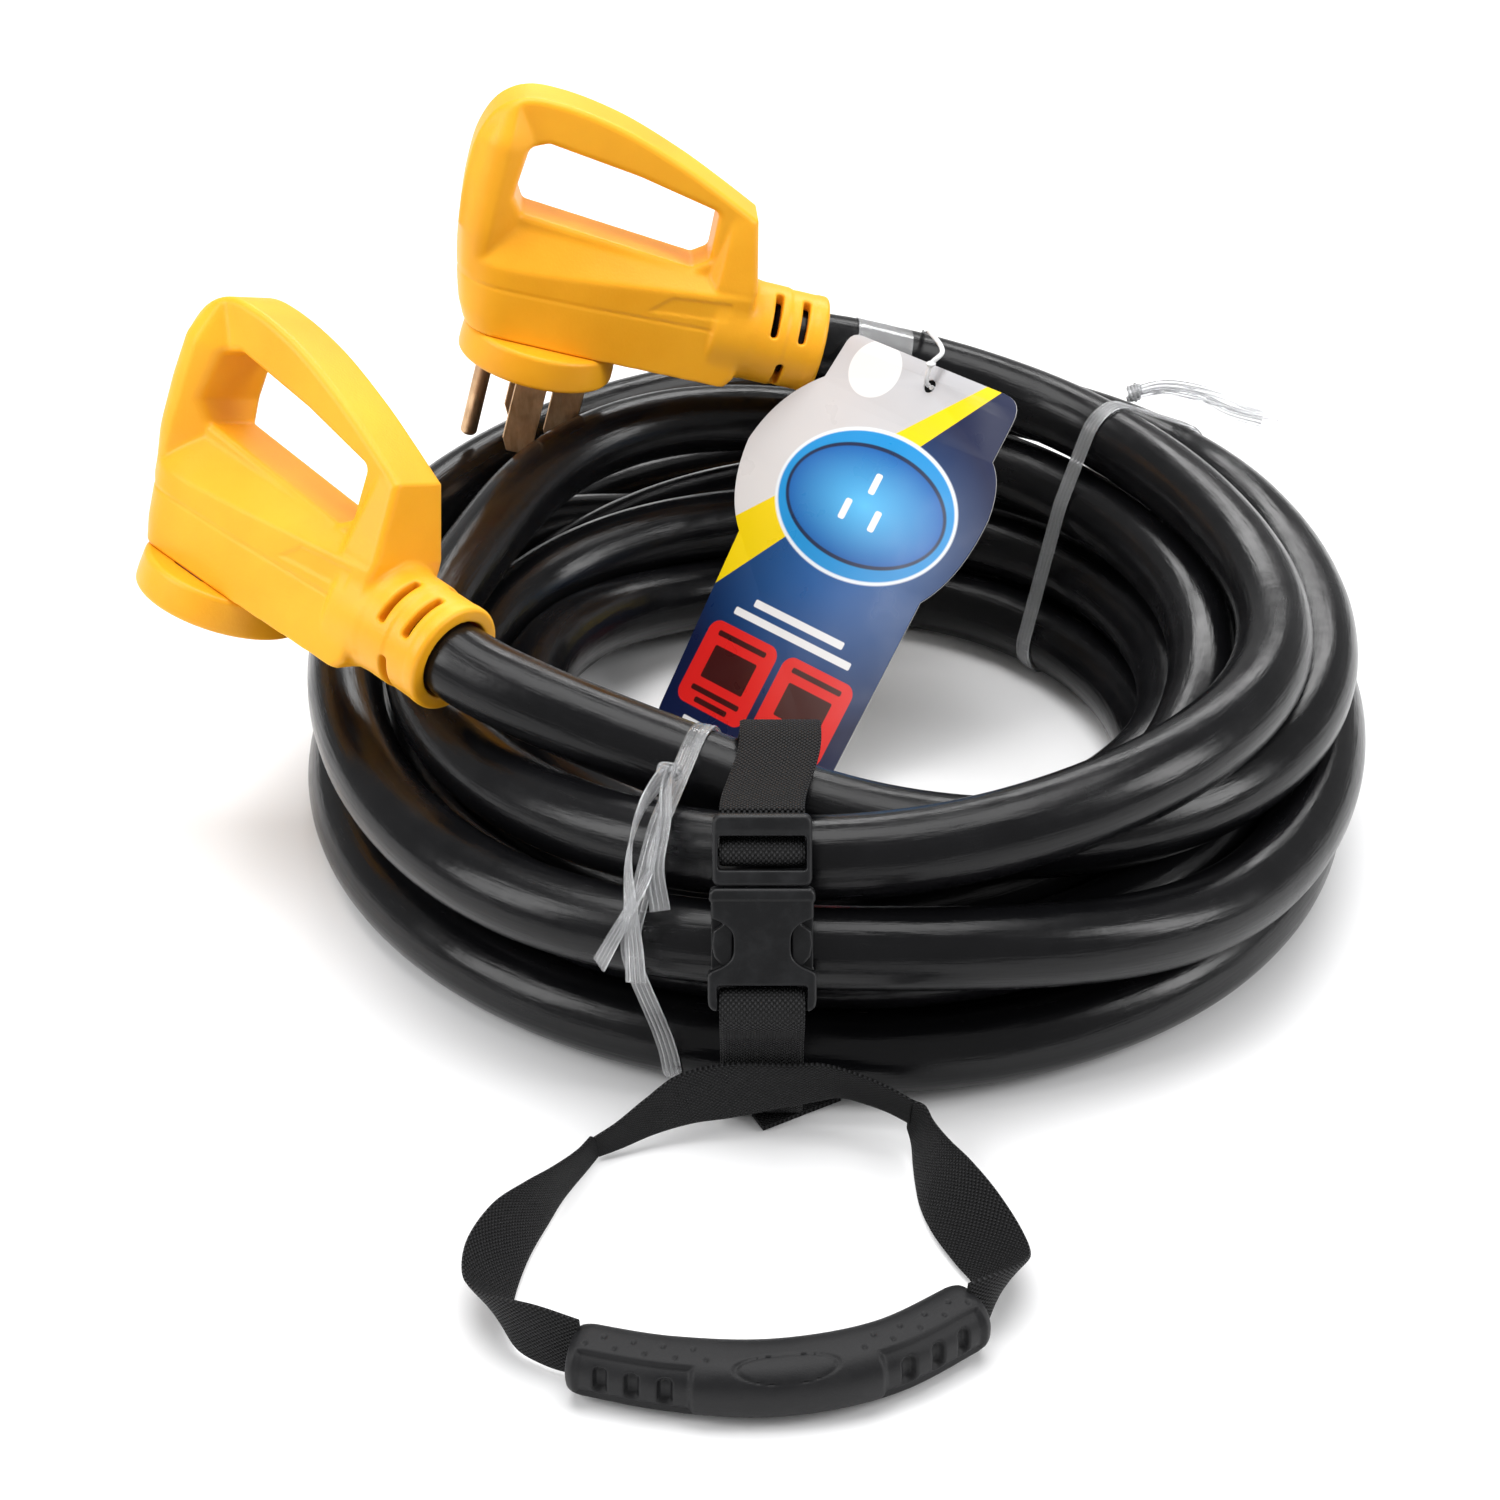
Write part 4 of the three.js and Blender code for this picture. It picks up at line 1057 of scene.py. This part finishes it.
def buckle_shapes():
    step = 0.33
    low = (-19, -11, -41)
    x, y, z = grid(low, (19, 1.5, 25), step)
    wide = np.abs(x)

    # the socket: a lip at its mouth, a waist that bares the prongs, two legs beside the strap's slot
    side = 16.1 - 0.5 * step_up(-z, 4.2, 4.8) + 0.9 * step_up(-z, 25, 27) - 0.6 * step_up(-z, 34, 39)
    front = 4.2 + 0.35 * (1 - step_up(-z, 3.6, 4.4)) - 0.9 * step_up(-z, 27, 37)
    socket = both(both(wide - side, np.abs(z + 19.15) - 18.85, 2.2), np.abs(y + 4.8) - front, 1.3)
    socket = np.maximum(socket, -block(x, y, z, (-15.6, -7.4, -27), (15.6, -2.2, 2), 0.4))
    waist = 8.6 + 7.6 * np.abs((z + 17.6) / 8.4) ** 3.4
    window = np.maximum(np.maximum(waist - wide, np.abs(z + 17.6) - 8.2), y + 2.2)
    socket = both(socket, -window, 0.6)
    socket = both(socket, -block(x, y, z, (-13.6, -12, -34.5), (13.6, 3, -30), 0.8), 0.5)
    socket = both(socket, -block(x, y, z, (-13.6, -12, -42), (13.6, -6.4, -30.5), 0.4), 0.4)

    # the tongue: a frame round a window with a sunk crossbar, and the blade that guides it in
    crown = 4.2 + 0.5 * step_up(z, 15.5, 18)
    tongue = both(both(wide - 15.1, np.abs(z - 11) - 11, 2.6), np.abs(y + 4.8) - crown, 1.5)
    tongue = both(tongue, -block(x, y, z, (-13.4, -12, 5), (13.4, 3, 15.4), 0.9), 0.6)
    tongue = np.maximum(tongue, -block(x, y, z, (-13.4, -2.9, 15), (13.4, 3, 26)))
    tongue = np.minimum(tongue, block(x, y, z, (-14.4, -6, 9), (14.4, -3.4, 11.4), 0.8))
    tongue = np.minimum(tongue, block(x, y, z, (-5, -7.1, -22), (5, -2.5, 1), 0.8))

    shapes = {"socket": socket, "tongue": tongue}
    for name, sign in (("left", -1), ("right", 1)):
        arm = np.array([(8.2, -0.5), (11.6, -0.5), (12, -11.5), (14.9, -13.6), (15.3, -17.5), (14.6, -21.4),
                        (11.4, -25.2), (8.8, -24)]) * [sign, 1]
        flat = outline(arm, x[:, 0, :], z[:, 0, :])[:, None, :]
        shapes[name] = both(flat, np.abs(y + 4.8) - 2.3, 0.9)
    return {name: surface(shape, low, step) for name, shape in shapes.items()}


def make_buckle():
    shapes = buckle_shapes()
    for key, name, node, body in (
        ("socket", "buckle_socket_body", "buckle_socket", ROOT),
        ("tongue", "buckle_tongue_frame", "buckle_tongue", "buckle_tongue"),
        ("left", "buckle_left_prong", "buckle_prong_left", "left_prong"),
        ("right", "buckle_right_prong", "buckle_prong_right", "right_prong"),
    ):
        make_object(name, *shapes[key], BUCKLE_BLACK, (node,), body=body, pose=BUCKLE)


make_buckle()


def ruled_webbing(name, lower, upper_edge, count, replaces, body=ROOT, thickness=2.0):
    """webbing between two edges given as free lines, as it twists and leans"""
    low_line, high_line = smooth(lower, count), smooth(upper_edge, count)
    middle, rise = (low_line + high_line) / 2, high_line - low_line
    side = unit(rise)
    out = unit(np.cross(unit(np.gradient(middle, axis=0)), side))
    webbing_piece(name, middle, side, out, strip_section(2, thickness), replaces,
                  width=np.linalg.norm(rise, axis=1) / 2, body=body)


HANDLE = "carry_handle"
LEFT_LOW = [(-77.4, -217.6, 1.0), (-80, -223, 1.2), (-87.1, -236.9, 1.2), (-91, -247.5, 1.2), (-95.9, -262.1, 1.2),
            (-99, -278, 1.2), (-99.5, -289, 1.2), (-97, -299, 1.2), (-88, -306, 1.2), (-78, -310, 1.2)]
LEFT_HIGH = [(-79.2, -216.6, 8.6), (-82.5, -224, 10), (-89.5, -237, 14.5), (-97, -247.5, 18), (-106, -258, 19),
             (-113, -271, 16), (-113, -283, 14), (-107, -293, 17), (-99.5, -299.5, 21), (-90, -304, 22.5),
             (-78, -308, 21)]
RIGHT_LOW = [(19.6, -212.4, 8.0), (21, -214.5, 3.5), (21.3, -221, 1.4), (21.6, -230.4, 1.2), (22.6, -241.2, 1.2),
             (25.6, -252, 1.2), (31.5, -265, 1.2), (36.5, -274, 1.2), (39, -283, 1.2), (38, -292, 1.2),
             (33, -296, 1.2)]
RIGHT_HIGH = [(20.6, -211, 18.6), (24.4, -213.6, 18.6), (26.5, -218, 17), (31.2, -230, 19), (36.5, -239.5, 20),
              (44, -250, 17), (51, -263, 13), (52.5, -274, 14), (48, -284, 19), (41, -290, 21.5),
              (33, -293.5, 21)]
BAND_LOW = [(-77.0, -217.2, 0.9), (-70.2, -215, 2.3), (-59.6, -211, 4.8), (-47.5, -208, 6.8), (-36.9, -206.5, 7.5),
            (-23.2, -206, 10.4), (-9.6, -206, 13.8), (-1.3, -206, 15.4), (7, -207.5, 13.9), (14, -209.8, 12.4),
            (20.2, -212.6, 10.5)]
BAND_HIGH = [(-79.0, -216.2, 7.2), (-71.5, -213, 10.8), (-62.5, -209, 17), (-51.9, -206.4, 24.7),
             (-35.3, -205.8, 28.8), (-17.3, -205.8, 28.4), (-8.3, -205.8, 28.8), (0.8, -206, 26.2),
             (12.9, -208, 21.6), (21.0, -211.4, 18.6)]
GRIP_LINE = [(-80, -311), (-52, -317.5), (-22, -319), (8, -311.5), (35, -294)]


def make_handle():
    ruled_webbing("handle_strap_left", LEFT_LOW, LEFT_HIGH, 90, ("handle_webbing_left",), HANDLE)
    ruled_webbing("handle_strap_right", RIGHT_LOW, RIGHT_HIGH, 80, ("handle_webbing_right",), HANDLE)
    ruled_webbing("handle_band_webbing", BAND_LOW, BAND_HIGH, 110, ("handle_band",), thickness=2.6)


def make_grip():
    """the soft moulded grip: sunk ends with three slots each, an oval inlay and rows of dimples"""
    count, sides = 300, 128
    flat = smooth(GRIP_LINE, count)
    path = np.stack([flat[:, 0], flat[:, 1], np.full(count, 9.8)], 1)
    along = unit(np.gradient(path, axis=0))
    out = unit(np.cross(along, (0, 0, 1)))           # towards the front of the bow
    if out[count // 2][1] > 0:
        out = -out
    upper = np.repeat([[0.0, 0.0, 1.0]], count, axis=0)
    run = np.concatenate([[0], np.cumsum(np.linalg.norm(np.diff(path, axis=0), axis=1))])
    total = run[-1]
    turn = np.linspace(0, 2 * math.pi, sides, endpoint=False)
    s, t = np.meshgrid(run, turn, indexing="ij")
    from_end = np.minimum(s, total - s)

    power = 2.5
    girth = (np.abs(np.cos(t)) ** power + np.abs(np.sin(t)) ** power) ** (-1 / power)
    depth_half = 9.7 + 0.9 * np.cos(math.pi * (s / total - 0.5)) ** 2
    height_half = 9.0 + 0.5 * np.cos(math.pi * (s / total - 0.5)) ** 2
    shrink = 0.93 + 0.07 * step_up(from_end, 0, 5)
    round_end = np.sqrt(np.clip(1 - (1 - np.clip(from_end / 2.6, 0, 1)) ** 2, 0.02, 1))
    shrink = shrink * (0.80 + 0.20 * round_end)

    face = np.degrees(t)                             # 0 faces the front, 90 is up
    face = np.where(face > 180, face - 360, face)
    arc = (face - 12) / 180 * math.pi * 10.5         # millimetres round the grip from the pockets' middle
    sink = np.zeros_like(s)
    for centre in (19.5, total - 19.5):
        across = np.abs(s - centre)
        pocket = np.maximum((across / 16.5) ** 3, (np.abs(arc) / 9.2) ** 3)
        sink += 1.3 * (1 - step_up(pocket, 0.72, 1.1))
        for number in (-1, 0, 1):
            slot = np.hypot(np.maximum(np.abs(arc + 0.8) - 4.0, 0), s - centre - 9.0 * number) - 1.9
            sink += 2.3 * (1 - step_up(slot, -0.6, 0.5))
    inlay = np.hypot((s - total / 2) / 13.8, (face - 62) / 24)
    sink += 0.55 * np.exp(-((inlay - 1) / 0.055) ** 2)
    for row, offset in ((76, 0.0), (96, 4.0)):
        for side in (-1, 1):
            for number in range(5):
                middle = total / 2 + side * (22 + offset + 8.6 * number)
                pit = np.hypot(s - middle, (face - row) / 180 * math.pi * 10)
                sink += 0.55 * (1 - step_up(pit, 0.35, 0.85))
    sections = np.stack([
        np.cos(t) * (girth * depth_half * shrink - sink),
        np.sin(t) * (girth * height_half * shrink - sink),
    ], -1)
    points, faces = swept(path, sections, out, upper)
    make_object("rubber_grip", points, faces, RUBBER, ("handle_grip",), body=HANDLE, smooth_angle=1.3)


make_handle()
make_grip()


# ---- hang tag ------------------------------------------------------------------------------------
def tag_outline():
    """the card's corners and the bulges of its sides, as curves of start, control, end and points"""
    w, l = TAG_W, TAG_L
    curves = [
        ((w - 6, 0), (w, 0), (w, 6), 6), ((w, 84), (w + 11, 98), (w + 10, 122), 12),
        ((w + 10, 122), (w + 8, 136), (w, 142), 12), ((w, l - 9), (w, l), (w - 9, l), 7),
        ((6, l), (0, l), (0, l - 6), 6), ((-1.5, 147), (-18, 134), (-21, 113), 18),
        ((-21, 113), (-19, 91), (-4.4, 79), 14), ((0, 6), (0, 0), (6, 0), 6),
    ]
    corners = []
    for start, control, end, count in curves:
        t = np.linspace(0, 1, count)[:, None]
        curve = ((1 - t) ** 2 * start + 2 * t * (1 - t) * control + t**2 * end).tolist()
        corners += curve[1:] if corners and corners[-1] == curve[0] else curve
    return corners


def make_tag():
    curve = bpy.data.curves.new("tag_outline", "CURVE")
    curve.dimensions = "2D"
    curve.fill_mode = "BOTH"
    curve.extrude = TAG_T / 2 - 0.12
    curve.bevel_depth = 0.12
    curve.bevel_resolution = 1
    curve.offset = -0.12
    hole = [(TAG_HOLE[0] + 2.6 * math.cos(a), TAG_HOLE[1] + 2.6 * math.sin(a))
            for a in np.linspace(0, 2 * math.pi, 32, endpoint=False)]
    for corners in (tag_outline(), hole):
        spline = curve.splines.new("POLY")
        spline.points.add(len(corners) - 1)
        for point, (u, v) in zip(spline.points, corners):
            point.co = (u, v, 0, 1)
        spline.use_cyclic_u = True
    card = bpy.data.objects.new("tag_outline", curve)
    bpy.context.scene.collection.objects.link(card)
    bpy.context.view_layer.update()
    mesh = card.evaluated_get(bpy.context.evaluated_depsgraph_get()).to_mesh()
    shape = bmesh.new()
    shape.from_mesh(mesh)
    bmesh.ops.remove_doubles(shape, verts=shape.verts, dist=0.001)
    flat = np.array([v.co for v in shape.verts])
    faces = [[v.index for v in f.verts] for f in shape.faces]
    shape.free()
    bpy.data.objects.remove(card)
    front = (flat[:, 2] > 0.2).astype(float)
    across, up = np.array(TAG_ACROSS), np.array(TAG_UP)
    out = np.cross(across, up)
    pose = (np.array(TAG_FOOT, float) + out * TAG_T / 2, np.stack([across, up, out], 1))
    lay = np.stack([flat[:, 0], flat[:, 1], front], 1)
    make_object("printed_hang_tag", flat, faces, CARD, ("hang_tag",), body="hang_tag", pose=pose, lay=lay,
                smooth_angle=0.6)
    return pose


def make_fastener(pose):
    """the clear loop through the tag's hole, over its edge and round the cord above"""
    def in_tag(up, out):
        return place([[TAG_HOLE[0], TAG_HOLE[1] + up, out]], pose)[0]

    over = [(39, 100, 133), (39, 118, 125), (39, 132, 119.5), (38.5, 141.5, 108), (38, 139, 95),
            (37.5, 127, 89), (37.5, 112, 95), (37.6, 95, 107.5)]
    line = [in_tag(0, 1.2), in_tag(0.5, 3.4), in_tag(7, 6), in_tag(13, 3), *over, in_tag(0, -4),
            in_tag(0, -1)]
    path = smooth(line, 160)
    loop = swept(path, round_section(0.95, 20), *carried_frames(path, (1, 0, 0)))
    bead = lathed([(0.05, -0.9), (1.2, -0.8), (1.9, -0.2), (1.9, 0.4), (1.1, 1.0), (0.05, 1.1)], 24)
    bead_at = in_tag(7, 6)
    parts = [loop, (bead[0] + bead_at, bead[1])]
    milky = clear_vinyl("milky_nylon", 0.35, (0.9, 0.9, 0.88))
    make_object("tag_fastener", *joined(parts), milky, ("tag_loop",), smooth_angle=0.9, slot="clear_vinyl")


make_fastener(make_tag())
